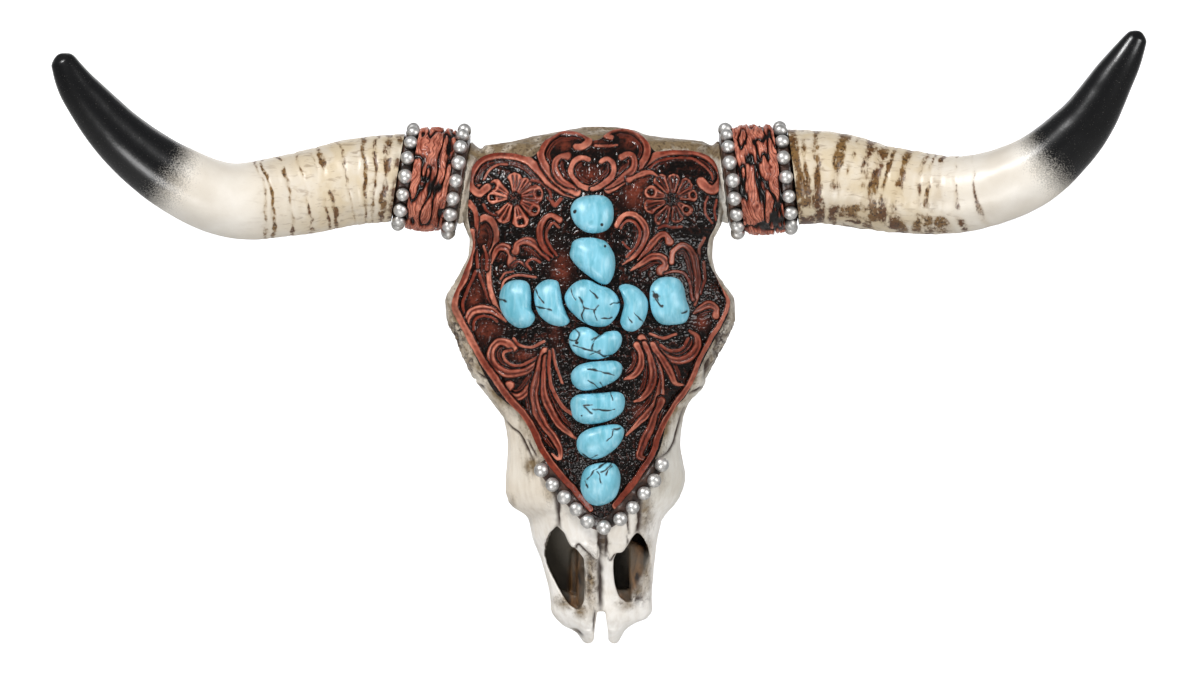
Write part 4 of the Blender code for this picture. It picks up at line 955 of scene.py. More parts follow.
def turquoise_paint():
    """Polished blue stone with soft pale streaks that are partly painted highlight, painted shade on its
    sloping foot, and dark veins.
    """
    paint = Paint("turquoise_paint", Coat_Weight=0.25, Coat_Roughness=0.32)
    cloud = paint.patches(120.0, 0.32, 0.68, 4.0, stretch=(1.8, 1, 0.6), warp=0.8)
    colour = paint.mix(cloud, rgb(94, 170, 188), rgb(142, 208, 228))
    # The pale streaks run up and down the stone and are partly painted highlight.
    streak = paint.patches(420.0, 0.5, 0.74, 4.0, stretch=(1.6, 1, 0.3))
    colour = paint.over(colour, rgb(186, 228, 238), streak, 0.4)
    colour = paint.over(colour, rgb(92, 156, 164), paint.patches(230.0, 0.55, 0.75), 0.35)
    # Painted shade: a darker teal on the sloping foot of each stone.
    colour = paint.over(colour, rgb(64, 124, 136), paint.value("edge"), 0.7)
    colour = paint.over(colour, rgb(20, 22, 20), paint.value("vein"))
    paint.bump(paint.noise(500.0, 2.0), 0.0002, 0.2)
    return paint.finish(colour, paint.ramp(paint.value("vein"), 0.0, 1.0, 0.4, 0.6))


def steel_paint():
    """Plated steel with fine rolling marks."""
    paint = Paint("steel_paint", Metallic=1.0)
    marks = paint.patches(600.0, 0.35, 0.7, stretch=(0.1, 1, 6))
    colour = paint.mix(marks, rgb(196, 194, 188), rgb(156, 152, 142))
    paint.bump(marks, 0.0001, 0.2)
    return paint.finish(colour, paint.ramp(marks, 0.0, 1.0, 0.26, 0.4))


# The bone

def nasal_depth(x, z):
    """The front that the nasal bones keep beyond the step above the nostrils."""
    reach = np.where(x < 0, *NASAL_REACHES)
    crown = smooth_values(NASAL_DEPTHS, 1, z)
    return crown - NASAL_FALL * np.minimum(np.abs(x) / reach, 1.0) ** CROWN_POWER


def level_depth(depth):
    """A front that keeps one depth everywhere."""
    return lambda x, z: np.full_like(x, depth)


def skull_parts():
    """Bones and ridges that the plain solid leaves out, as closed plates."""
    parts = []
    for outline in NASAL_BONES:
        line = spline(from_photo(outline), 90, closed=True)
        parts.append(closed_plate(line, nasal_depth, NASAL_THICKNESS, NASAL_ROUND))
    for outline, depth in NOSTRIL_RIDGES:
        line = spline(from_photo(outline), 40, closed=True)
        parts.append(closed_plate(line, level_depth(depth), RIDGE_THICKNESS, RIDGE_ROUND))
    return parts


def remeshed_skull(voxel):
    """The solid's skull with its extra bones, as one even and softened mesh."""
    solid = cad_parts["skull"].data
    faces = [list(face.vertices) for face in solid.polygons]
    verts, faces = join_parts([(points_of(solid)[0], faces)] + skull_parts())
    mesh = bpy.data.meshes.new("skull_rough")
    mesh.from_pydata((verts * MM).tolist(), [], faces)
    rough = bpy.data.objects.new("skull_rough", mesh)
    bpy.context.scene.collection.objects.link(rough)
    remesh = rough.modifiers.new("even", "REMESH")
    remesh.mode = "VOXEL"
    remesh.voxel_size = voxel * MM
    soften = rough.modifiers.new("soften", "SMOOTH")
    soften.factor = SOFTENING
    soften.iterations = SOFTENING_TIMES
    bpy.context.view_layer.update()
    evaluated = rough.evaluated_get(bpy.context.evaluated_depsgraph_get())
    result = bpy.data.meshes.new_from_object(evaluated)
    bpy.data.objects.remove(rough)
    return result


def fit_edges(places):
    """Draw the bone's side outline to its table, where the solid's facets cut across it."""
    low = np.floor(places[:, 2].min())
    bins = (places[:, 2] - low).astype(int)
    fitted = places[:, 2] < FITTED_BELOW
    for side, column in ((-1, 1), (1, 2)):
        reach = np.full(bins.max() + 1, 0.1)
        np.maximum.at(reach, bins, side * places[:, 0])
        heights = low + 0.5 + np.arange(len(reach))
        wanted = smooth_values(SKULL_SIDES, column, heights)
        ratio = np.clip(wanted / reach, 1 - FITTED_MOST, 1 + FITTED_MOST) - 1
        ratio = np.interp(places[:, 2], heights, ratio)
        near_rim = smooth_step(0.45, 0.9, side * places[:, 0] / np.interp(places[:, 2], heights, reach))
        places[:, 0] *= 1 + ratio * near_rim * fitted
    below = smooth_step(*LOBE_HEIGHTS, places[:, 2])
    away = places[:, 0] - NOTCH_MIDDLE
    beside_notch = np.exp(-((np.abs(away) - NOTCH_HALF) / NOTCH_SOFT) ** 2)
    places[:, 0] += NOTCH_FLARE * np.sign(away) * beside_notch * below
    off_lobe = np.minimum(((np.abs(away) - LOBE_MIDDLE) / LOBE_HALF) ** 2, 1.5)
    places[:, 2] -= LOBE_DROP * below * (1 - off_lobe)


def bone_lines(places, facing):
    """How deep the sutures and cracks are at each point, and how dark."""
    flat = places[:, [0, 2]]
    depth_there, dark = np.zeros(len(places)), np.zeros(len(places))
    outward = smooth_step(0.05, 0.4, -facing[:, 1])
    for width, depth, points in BONE_LINES:
        line = spline(from_photo(points), 40)
        near = near_line(flat, line, 4.0)
        distance, _, along = distance_to_line(flat[near], line)
        ends = np.sin(np.pi * np.clip(along, 0.05, 0.95)) ** 0.4
        wobble = np.clip(1 + 0.5 * noise(places[near], 2.5, 11), 0.5, 1.5)
        mark = np.exp(-(distance / (width * wobble)) ** 2) * ends * outward[near]
        depth_there[near] += depth * mark
        dark[near] = np.maximum(dark[near], np.clip(1.35 * mark, 0, 1))
    return depth_there, dark


def most_of(places, blobs):
    """The strongest of several ovals at each place."""
    strongest = np.zeros(len(places))
    for centre, across, up, *strength in blobs:
        strongest = np.maximum(strongest, (strength or [1.0])[0] * blob(places, centre, across, up))
    return strongest


def snap_to_front(places, facing):
    """Smooth the facets away where the bone is near its true front; how far the rest lies behind it."""
    off = front_depth(places[:, 0], places[:, 2]) + places[:, 1]
    front = smooth_step(0.35, 0.75, -facing[:, 1])
    snap = front * (1 - smooth_step(0.6 * SNAP_REACH, SNAP_REACH, np.abs(off)))
    places[:, 1] -= off * snap
    return off


def in_nostrils(flat, places, off):
    """1 inside the nostrils, 0 elsewhere."""
    within = np.zeros(len(places), bool)
    for outline in NOSTRILS:
        within |= inside(flat, spline(outline, 60, closed=True))
    return smooth_step(0.8, 3.5, off) * smooth_step(4.0, 7.0, -places[:, 1]) * within


def panel_shade(flat):
    """1 beside the panel's lower edges, where brown wash ran onto the bone."""
    closest = np.full(len(flat), 99.0)
    for side in (PANEL_LEFT, PANEL_RIGHT):
        line = spline(side[:9], 60)
        near = near_line(flat, line, 9.0)
        distance = distance_to_line(flat[near], line)[0]
        closest[near] = np.minimum(closest[near], distance)
    return np.exp(-(closest / PANEL_STAIN_REACH) ** 2)


def bone_stain(flat, places, facing):
    """How much brown wash stayed on the bone, and how much its faces turned to the side are darkened."""
    stain = most_of(flat, BONE_STAINS)
    stain = np.maximum(stain, TOP_STAIN * smooth_step(*TOP_STAIN_HEIGHTS, places[:, 2]))
    stain = np.maximum(stain, PANEL_STAIN * panel_shade(flat))
    # Faces turned to the side, high enough up, are darkened with the same brown.
    sides = smooth_step(0.15, 0.7, np.abs(facing[:, 0]))
    upper = smooth_step(*SIDE_DARKENING_HEIGHTS, places[:, 2])
    return np.maximum(stain, SIDE_DARKENING * sides * upper)


def press_bone(places, facing, grooves, stain, pits, behind):
    """Push cracks, pits and unevenness into the bone, and return how deeply it is eaten."""
    rough = rough_noise(places, 4.2, 31)
    eaten = np.minimum(1.4 * pits, 1.0) * smooth_step(0.1, 0.55, rough)
    push = -grooves - PIT_DEPTH * eaten + PIT_RIM * pits * np.clip(-rough, 0, 1)
    for rise, size, seed in BONE_WAVES:
        push += rise * rough_noise(places, size, seed)
    push += STAIN_WAVE * stain * rough_noise(places, 4.0, 61)
    push[behind] = BACK_WAVE * rough_noise(places[behind], 6.0, 71)
    places += facing * push[:, None]
    places[:, 1] = np.minimum(places[:, 1], 0.0)
    return eaten


def make_skull(material):
    """The bone: remeshed from the solid, with cracks, pits and the places of its paint."""
    mesh = remeshed_skull(VOXEL)
    places, facing = points_of(mesh)
    fit_edges(places)
    flat = places[:, [0, 2]]
    off = snap_to_front(places, facing)
    behind = -places[:, 1] < BACK_LAYER
    sunk = in_nostrils(flat, places, off)
    grooves, wash = bone_lines(places, facing)
    stain = bone_stain(flat, places, facing)
    pits = most_of(flat, PITTED) * (1 - sunk)
    eaten = press_bone(places, facing, grooves, stain, pits, behind)
    mesh.vertices.foreach_set("co", (places * MM).ravel())
    mesh.update()
    mesh.materials.clear()
    mesh.materials.append(material)
    mesh.shade_smooth()
    skull = bpy.data.objects.new("skull_bone", mesh)
    bpy.context.scene.collection.objects.link(skull)
    set_values(skull, "wash", np.maximum(wash, 0.9 * eaten))
    set_values(skull, "stain", stain * (1 - behind))
    set_values(skull, "pits", np.clip(pits * (1 - behind), 0, 1))
    set_values(skull, "dark", sunk)
    set_values(skull, "brown", most_of(flat, NOSTRIL_BROWNS))
    set_values(skull, "back", behind.astype(float))
    set_values(skull, "cool", smooth_step(*COOL_PLACES, places[:, 0]))
    # Painted light: the muzzle is painted paler towards its lower end.
    set_values(skull, "pale", smooth_step(*MUZZLE_LIGHT_HEIGHTS, places[:, 2]))
    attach(skull, "root")
    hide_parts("skull")


# The tooled panel

def grown(line, offset):
    """A line moved sideways, to its left as it runs."""
    along = unit(np.gradient(line, axis=0))
    return line + offset * np.column_stack([-along[:, 1], along[:, 0]])


def along_edge(edge, share):
    """The point at each share of the way along an edge."""
    place = np.clip(share, 0, 1) * (len(edge) - 1)
    low = np.minimum(place.astype(int), len(edge) - 2)
    return edge[low] + (edge[low + 1] - edge[low]) * (place - low)[..., None]


def panel_places(shares, climbs):
    """Places between the panel's two sides, drawn to its shaped top and bottom near them."""
    left = grown(spline(PANEL_LEFT, 300), PANEL_OUT)
    right = grown(spline(PANEL_RIGHT, 300), -PANEL_OUT)
    bottom = grown(spline(PANEL_BOTTOM, 60), -PANEL_OUT)
    top = grown(spline(PANEL_TOP, 240), PANEL_OUT)
    across = shares[..., None]
    up = climbs[..., None]
    place = (1 - across) * along_edge(left, climbs) + across * along_edge(right, climbs)
    highest = (1 - across) * left[-1] + across * right[-1]
    lowest = (1 - across) * left[0] + across * right[0]
    place = place + up ** EDGE_REACH * (along_edge(top, shares) - highest)
    return place + (1 - up) ** EDGE_REACH * (along_edge(bottom, shares) - lowest)


def bend_side(line):
    """Which side of a line it curls towards: 1 for its left, -1 for its right."""
    runs = np.diff(line, axis=0)
    turns = runs[:-1, 0] * runs[1:, 1] - runs[:-1, 1] * runs[1:, 0]
    return 1.0 if turns.sum() > 0 else -1.0


def press_ribbon(relief, places, ribbon):
    """Raise one scroll of the tooling, with a fine groove in it and a moat round it."""
    start, end, rise, points = ribbon
    line = spline(from_photo(points), 6 * len(points))
    near = near_line(places, line, 8.0)
    distance, side, along = distance_to_line(places[near], line)
    width = start + (end - start) * along
    if rise == SCROLL_RISE:
        width = SCROLL_WIDENING * width * np.interp(along, SWELL_PLACES, SWELLS)
    half = PIXEL * width / 2
    share = distance / half
    offset = side * distance * bend_side(line)
    grooved = np.zeros(len(near))
    if rise == SCROLL_RISE:
        grooved = np.exp(-((offset + 0.1 * half) / GROOVE_WIDTH) ** 2) * smooth_step(1.2, 2.2, half)
        grooved *= smooth_step(0.06, 0.2, along)
    shoulder = 0.62 if rise == SCROLL_RISE else 0.78
    dish = 0.12 * np.clip(1 - share ** 2, 0, 1)
    top = rise * (1 - smooth_step(shoulder, 1.12, share)) * (1 - 0.4 * grooved - dish)
    moat = 1 - smooth_step(1.05, 1.5, share)
    painted = (1 - smooth_step(0.86, 1.08, share)) * (1 - 0.75 * grooved)
    outline = np.exp(-((distance - 1.05 * half - 0.3) / OUTLINE_WIDTH) ** 2)
    if SCROLL_RISE <= rise < BORDER_RISE:
        echo = np.exp(-((offset - half - ECHO_AWAY) / ECHO_WIDTH) ** 2)
        echo += 0.75 * np.exp(-((offset - half - 2.1 * ECHO_AWAY) / ECHO_WIDTH) ** 2)
        echo *= smooth_step(0.05, 0.2, along) * (1 - smooth_step(0.75, 0.95, along))
        top = np.maximum(top, 0.62 * rise * echo)
        painted = np.maximum(painted, 0.85 * echo)
    height, red, line_paint = relief["height"], relief["red"], relief["line"]
    height[near] = np.maximum(height[near] * (1 - 0.85 * moat), top)
    red[near] = np.maximum(red[near] * (1 - moat), painted)
    line_paint[near] = np.maximum(line_paint[near] * (1 - moat), outline)


def press_petal(relief, places, centre, fill, petal):
    """Raise one petal: a curled edge, folds and, for some, a dark eye near its end."""
    angle, spread, length, eye = petal
    away = (places - from_photo(centre)) / (length * PIXEL)
    near = np.nonzero(np.hypot(*away.T) < 1.2)[0]
    turn, spread = math.radians(angle), math.radians(spread)
    along = away[near] @ (math.cos(turn), math.sin(turn))
    across = away[near] @ (-math.sin(turn), math.cos(turn))
    reach = np.hypot(along, across)
    slant = np.arctan2(across, along) / spread
    edge = 0.76 + 0.24 * np.sqrt(np.clip(1 - slant ** 2, 0, 1))
    inward = np.minimum(edge - reach, (1 - np.abs(slant)) * spread * reach)
    root = smooth_step(0.16, 0.3, reach)
    body = smooth_step(-0.01, 0.04, inward) * root
    rim = np.exp(-((inward - 0.055) / 0.04) ** 2) * root
    fold = 0.5 + 0.5 * np.cos(3.4 * math.pi * slant * (0.7 + 0.5 * reach))
    top = body * np.clip(fill * (0.3 + 0.7 * fold) + 0.5 * rim, 0, 1)
    if eye:
        round_eye = np.hypot(along - eye, across) / 0.1
        hole = 1 - smooth_step(0.7, 1.1, round_eye)
        curl = np.exp(-((round_eye - 1.75) / 0.6) ** 2) * body
        top = np.maximum(top, curl) * (1 - hole)
    height, red, line_paint = relief["height"], relief["red"], relief["line"]
    height[near] = np.maximum(height[near], SCROLL_RISE * top)
    red[near] = np.maximum(red[near], smooth_step(0.18, 0.7, top))
    outline = np.exp(-((inward + 0.03) / 0.03) ** 2) * root * (reach < 1.1)
    line_paint[near] = np.maximum(line_paint[near] * (1 - body), outline)


def press_flower(relief, places, flower):
    """Raise one flower of uneven petals round a knot of small seeds."""
    centre, fill, petals = flower
    for petal in petals:
        press_petal(relief, places, centre, fill, petal)
    away = places - from_photo(centre)
    heart = 1 - smooth_step(2.2, 3.0, np.hypot(*away.T))
    seeds = stipple(places, 1.3, 17)
    relief["height"] = np.maximum(relief["height"] * (1 - heart), 1.7 * heart * seeds)
    relief["red"] = np.maximum(relief["red"] * (1 - heart), 0.45 * heart * smooth_step(0.3, 0.8, seeds))


def hand_wander(spots):
    """Small shifts of the tooling across and up, as a hand leaves them."""
    shifts = []
    for seed in (21, 24):
        shifts.append(WANDER * noise(spots, 5.0, seed) + 0.4 * WANDER * noise(spots, 1.8, seed + 1))
    return np.column_stack(shifts)


def sink_rim(grid):
    """Bring the panel's edge down into the bone."""
    for line in (grid[0], grid[-1], grid[:, 0], grid[:, -1]):
        line[:] = -RIM_SUNK
    for line in (grid[1], grid[-2], grid[:, 1], grid[:, -2]):
        line *= RIM_SHARE


def ground_bumps(places, red):
    """Stipple and small worm-like marks of the ground, fading where it is red."""
    bumps = stipple(places, STIPPLE_CELL, 3)
    bumps = np.maximum(bumps, 0.8 * stipple(places + 0.4, 0.62 * STIPPLE_CELL, 4))
    worms = np.clip(1 - 3.5 * np.abs(rough_noise(in_space(places), 3.4, 14, 2)), 0, 1)
    return np.clip(0.75 * bumps + 0.5 * worms, 0, 1) * (1 - smooth_step(0.15, 0.8, red))


def red_ground(places, bumps, patchy):
    """Where red was brushed over the ground: on some fields, and thinly on the bumps."""
    field = most_of(places, RED_FIELDS) * np.clip(0.2 + 1.1 * bumps, 0, 1)
    return np.maximum(field, 0.35 * smooth_step(0.55, 1.0, bumps) * patchy)


def black_wash(places, hollow, line_paint, field):
    """Where black wash lies: in hollows, round the scrolls, in worn patches and dark fields."""
    wash = smooth_step(0.05, 0.8, hollow) * (1 - 0.8 * field)
    wash = np.maximum(wash, 0.9 * line_paint)
    worn = smooth_step(0.05, 0.75, rough_noise(in_space(places), 9.0, 15))
    wash = np.maximum(wash, 0.5 * worn * (1 - field))
    return np.maximum(wash, most_of(places, DARK_FIELDS))


def make_panel(material):
    """The sheet of tooling, laid over the bone's front."""
    rows, columns = ((PANEL_ROWS, PANEL_COLUMNS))
    climbs, shares = np.meshgrid(np.linspace(0, 1, rows), np.linspace(0, 1, columns), indexing="ij")
    places = panel_places(shares, climbs).reshape(-1, 2)
    spots = in_space(places)
    relief = {name: np.zeros(len(places)) for name in ("height", "red", "line")}
    tooled = places + hand_wander(spots)
    for flower in FLOWERS:
        press_flower(relief, tooled, flower)
    for ribbon in SCROLLS + BORDERS:
        press_ribbon(relief, tooled, ribbon)
    red = relief["red"]
    bumps = ground_bumps(places, red)
    height = GROUND_RISE + relief["height"] + STIPPLE_RISE * bumps
    height += 0.14 * red * rough_noise(spots, 3.0, 5) + 0.05 * rough_noise(spots, 1.2, 6)
    grid = height.reshape(rows, columns)
    hollow = (blur(grid, 5.0 * columns / PANEL_COLUMNS) - grid).ravel()
    sink_rim(grid)
    points = on_front(places[:, 0], places[:, 1], grid.ravel())
    panel = add_object("tooled_panel_skin", points, grid_faces(rows, columns), "leather", material)
    patchy = np.clip(0.75 + 0.9 * rough_noise(spots, 16.0, 9), 0.15, 1)
    field = red_ground(places, bumps, patchy)
    lit = 0.85 + 0.4 * smooth_step(*LIT_PLACES, places[:, 0])
    set_values(panel, "red", red)
    set_values(panel, "field", field)
    # Pink on the ridges: dry-brushed paint, with painted highlight made stronger towards the left.
    set_values(panel, "ridge_rub_and_highlight", smooth_step(0.05, 0.75, -hollow) * red * patchy * lit)
    set_values(panel, "wash", black_wash(places, hollow, relief["line"], field))
    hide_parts("tooled_panel")


# Stones

def stone_marks(name, places, seed):
    """How strongly veins and pits mark a stone at each place."""
    spots = in_space(places)
    marks = np.zeros(len(places))
    stray = 0.5 * np.column_stack([noise(spots, 2.2, seed + 2), noise(spots, 2.2, seed + 3)])
    for points in VEINS.get(name, ()):
        distance, _, along = distance_to_line(places + stray, spline(from_photo(points), 16))
        width = VEIN_WIDTH * np.clip(0.85 + 0.8 * noise(spots, 1.6, seed + 5), 0.35, 1.6)
        vein = np.exp(-(distance / width) ** 2) * (0.7 + 0.3 * np.sin(np.pi * along))
        marks = np.maximum(marks, vein)
    for x, y, radius in PITS.get(name, ()):
        away = np.linalg.norm(places - from_photo((x, y)), axis=1) / (radius * PIXEL)
        ragged = 1 + 0.4 * noise(spots, 1.2, seed + 9)
        marks = np.maximum(marks, 1 - smooth_step(0.6, 1.2, away / ragged))
    return marks


def make_stone(name, outline, material):
    """One polished pebble with its veins and pits."""
    edge = spline(from_photo(outline), STONE_SIDES, closed=True)
    random.seed(name)
    seed = random.randrange(1000)
    height = STONE_HEIGHT * random.uniform(*STONE_HEIGHTS)
    bends = np.linspace(0, 1, STONE_RINGS)[:-1] * math.pi / 2
    shares = np.concatenate([STONE_FOOT_SHARES, np.cos(bends) ** 0.72])
    lifts = np.concatenate([STONE_FOOT_LIFTS, 0.22 + 0.78 * np.sin(bends) ** 1.1])
    places = dome_rings(edge, shares, STONE_INSET).reshape(-1, 2)
    marks = stone_marks(name, places, seed)
    lift = STONE_BASE_RISE + height * np.repeat(lifts, STONE_SIDES)
    lift += 0.45 * rough_noise(in_space(places), 7.0, seed, 2) * np.repeat(1 - shares ** 4, STONE_SIDES)
    points = on_front(places[:, 0], places[:, 1], lift - VEIN_DEPTH * marks)
    verts = np.vstack([points, points[-STONE_SIDES:].mean(axis=0)])
    faces = grid_faces(len(shares), STONE_SIDES, closed=True)
    faces += fan_faces(len(points) - STONE_SIDES, STONE_SIDES, len(points))
    stone = add_object(name + "_turquoise", verts, faces, "turquoise", material)
    set_values(stone, "vein", np.append(np.clip(VEIN_DARK * marks, 0, 1), 0.0))
    # Painted shade on the low rings of the stone's sloping foot.
    set_values(stone, "edge", np.append(np.repeat(1 - smooth_step(0.0, 0.34, lifts), STONE_SIDES), 0.0))
    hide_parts(name)


# Horns and cuffs

def cuff_direction(cuff):
    """Which way a cuff's axis leaves the skull."""
    lean = math.radians(cuff["lean"])
    return np.array((cuff["side"] * math.cos(lean), 0.0, math.sin(lean)))


def cuff_point(cuff, which, along=0.0):
    """A point on a cuff's axis, counted outwards from the middle of one of its bead bands."""
    x, z = cuff[which]
    return np.array((x, -CUFF_DEPTH, z)) + along * cuff_direction(cuff)


def turned(count):
    """Angles evenly spaced round a circle."""
    return np.linspace(0, 2 * math.pi, count, endpoint=False)


def round_sections(centres, directions, radii, turns):
    """Rings of points square to their directions; radii may differ round a ring."""
    forward = np.array((0.0, -1.0, 0.0))
    across = unit(forward - (directions @ forward)[:, None] * directions)
    up = np.cross(directions, across)
    spokes = np.cos(turns)[None, :, None] * across[:, None] + np.sin(turns)[None, :, None] * up[:, None]
    return centres[:, None] + radii[..., None] * spokes


def fade(values, start, end):
    """0 at the start, 1 at the end, whichever of the two is larger."""
    return smooth_step(0, 1, (values - start) / (end - start))


def horn_stations(curve):
    """Distances along a horn, how its radius rounds off at the end, and its curve at them."""
    gone = np.concatenate([[0], np.cumsum(np.linalg.norm(np.diff(curve[:, :3], axis=0), axis=1))])
    end_radius = curve[-1, 3]
    cap_start = gone[-1] - end_radius
    bends = np.linspace(0, HORN_CAP_BEND, HORN_CAP_RINGS)
    shaft = np.linspace(0, cap_start, HORN_STATIONS)[:-1]
    stops = np.concatenate([shaft, cap_start + end_radius * np.sin(bends)])
    rounding = np.concatenate([np.ones(len(shaft)), np.cos(bends)])
    return stops, rounding, np.column_stack([np.interp(stops, gone, column) for column in curve.T])


def horn_directions(side, centres, stops):
    """Which way a horn runs: as its cuff at the root, and along its curve further out."""
    ease = np.minimum(stops / stops[-1] / HORN_EASE, 1.0)[:, None]
    along = unit(np.gradient(centres, axis=0))
    return unit((1 - ease) * cuff_direction(CUFFS[side]) + ease * along)


def horn_streaks(side, flat, stations, heights, seed):
    """How strongly the brown rings mark a horn; they wander, and widen on its lower half."""
    swerve = 2.6 * noise(flat, 9.0, seed + 4) + 1.6 * noise(flat, 3.0, seed + 5)
    below = smooth_step(4.0, -12.0, heights)
    streaks = np.zeros(len(flat))
    for middle, half, strength in RINGS[side]:
        spread = half * (1 + RING_SPREAD[side] * below)
        ring = np.exp(-((stations + swerve - middle) / spread) ** 2)
        streaks = np.maximum(streaks, strength * ring)
    return streaks


def horn_waves(flat, length, seed):
    """Growth ripples across a horn, a little askew."""
    swerve = 2.6 * noise(flat, 13.0, seed) + 0.7 * noise(flat, 4.0, seed + 1)
    lines = np.column_stack([length + swerve, np.zeros_like(length), np.zeros_like(length)])
    return rough_noise(lines, 5.2, seed + 2, 3)


def make_horn(side, material):
    """One horn swept along its curve, with worn rings near its root and a round end."""
    stops, rounding, path = horn_stations(spline(HORNS[side], 4 * HORN_STATIONS))
    centres = np.column_stack([path[:, 0], -path[:, 1], path[:, 2]])
    along = horn_directions(side, centres, stops)
    radii = np.repeat(path[:, 3:] * rounding[:, None], HORN_SIDES, axis=1)
    flat = round_sections(centres, along, radii, turned(HORN_SIDES)).reshape(-1, 3)
    middles = np.repeat(centres, HORN_SIDES, axis=0)
    seed = HORN_SEEDS[side]
    stations = MIDDLE_PIXEL[0] + middles[:, 0] / PIXEL
    ringed = fade(stations, RING_FADES[side][1], RING_FADES[side][0])
    tip = fade(stations + 2.0 * rough_noise(flat, 9.0, seed + 3), *TIP_FADES[side])
    streaks = horn_streaks(side, flat, stations, flat[:, 2] - middles[:, 2], seed)
    relief = 0.4 * ringed * horn_waves(flat, np.repeat(stops, HORN_SIDES), seed)
    relief += 0.28 * rough_noise(flat, 18.0, seed + 6)
    relief += 0.12 * ringed * rough_noise(flat, 3.0, seed + 7) - 0.35 * streaks
    flat = flat + unit(flat - middles) * (relief * np.repeat(rounding, HORN_SIDES))[:, None]
    broken = np.clip(RING_WHOLE[side] + 1.7 * rough_noise(flat, 8.0, seed + 8), 0, 1.15)
    verts = np.vstack([flat, centres[-1] + along[-1] * HORN_POINT])
    faces = grid_faces(len(stops), HORN_SIDES, closed=True)
    faces += fan_faces(len(flat) - HORN_SIDES, HORN_SIDES, len(flat))
    horn = add_object("horn_" + side + "_skin", verts, faces, "horn", material)
    set_values(horn, "rings", np.append(streaks * broken, 0.0))
    set_values(horn, "base", np.append(ringed, 0.0))
    set_values(horn, "tip", np.append(tip, 1.0))
    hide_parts("horn_" + side)


def make_wrap(side, material):
    """Leather strands wound round a horn's root."""
    cuff = CUFFS[side]
    start = cuff_point(cuff, "inner", BAND_HALF - WRAP_TUCK)
    end = cuff_point(cuff, "outer", -BAND_HALF + WRAP_TUCK)
    share = np.linspace(0, 1, WRAP_STATIONS)[:, None]
    turns = turned(WRAP_SIDES)
    spots = np.stack(np.broadcast_arrays(share * 5, 6 * np.cos(turns), 6 * np.sin(turns)), -1)
    seed = WRAP_SEEDS[side]
    sway = 0.6 * noise(spots * (0.3, 1, 1), 5.0, seed) + 0.75 * noise(spots, 2.0, seed + 1)
    sway += 0.35 * noise(spots, 0.8, seed + 2)
    wound = np.abs(np.sin(math.pi * (WRAP_WINDINGS * share + sway)))
    folds = np.abs(rough_noise(spots * (1.0, 0.32, 0.32), 1.05, seed + 4, 2))
    strand = smooth_step(0.0, 0.3, folds) * (0.5 + 0.5 * smooth_step(0.05, 0.6, wound))
    fine = np.abs(np.sin(math.pi * (WRAP_THREADS * share + 3.0 * sway)))
    torn = np.clip(0.6 + 1.4 * rough_noise(spots, 1.6, seed + 3), 0, 1)
    height = STRAND_RISE * strand ** 0.8 + THREAD_RISE * fine ** 0.7 * strand
    crown = WRAP_CROWN * (1 - (2 * share - 1) ** 2)
    radii = cuff["wrap_radius"] - WRAP_SUNK + crown + height
    directions = np.repeat(cuff_direction(cuff)[None], WRAP_STATIONS, axis=0)
    rings = round_sections(start + (end - start) * share, directions, radii, turns)
    wrap = add_object("horn_wrap_" + side + "_skin", rings.reshape(-1, 3),
                      grid_faces(WRAP_STATIONS, WRAP_SIDES, closed=True), "leather", material)
    raised = smooth_step(0.1, 0.5, strand) * (0.6 + 0.4 * smooth_step(0.1, 0.5, fine))
    # Painted highlight: pink on the raised strands and their threads.
    painted_shine = smooth_step(0.15, 0.7, strand) * smooth_step(0.0, 0.55, fine)
    set_values(wrap, "red", raised)
    set_values(wrap, "field", 0.6 * raised)
    set_values(wrap, "ridge_rub_and_highlight", painted_shine * (0.65 + 0.45 * torn))
    set_values(wrap, "wash", 0.9 - 0.9 * smooth_step(0.0, 0.2, strand))
    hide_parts("horn_wrap_" + side)


def bead_set(name, centres, outwards, radii, seed, material, node):
    """A row of beads as one piece, each a little uneven and darker at its foot."""
    polar = np.linspace(0, math.pi, BEAD_RINGS)[:, None]
    turns = turned(BEAD_SEGMENTS)
    shape = np.stack(np.broadcast_arrays(np.sin(polar) * np.cos(turns), np.sin(polar) * np.sin(turns),
                                         np.cos(polar)), -1).reshape(-1, 3)
    faces = grid_faces(BEAD_RINGS, BEAD_SEGMENTS, closed=True)
    parts, foot = [], []
    for centre, outward, radius in zip(centres, outwards, radii):
        points = centre + radius * shape
        points += shape * BEAD_UNEVEN * noise(points, 2.6, seed)[:, None]
        parts.append((points, faces))
        foot.append(1 - smooth_step(-0.55, 0.15, shape @ outward))
    beads = add_object(name, *join_parts(parts), "pewter", material)
    set_values(beads, "wash", np.concatenate(foot))
    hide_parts(node)


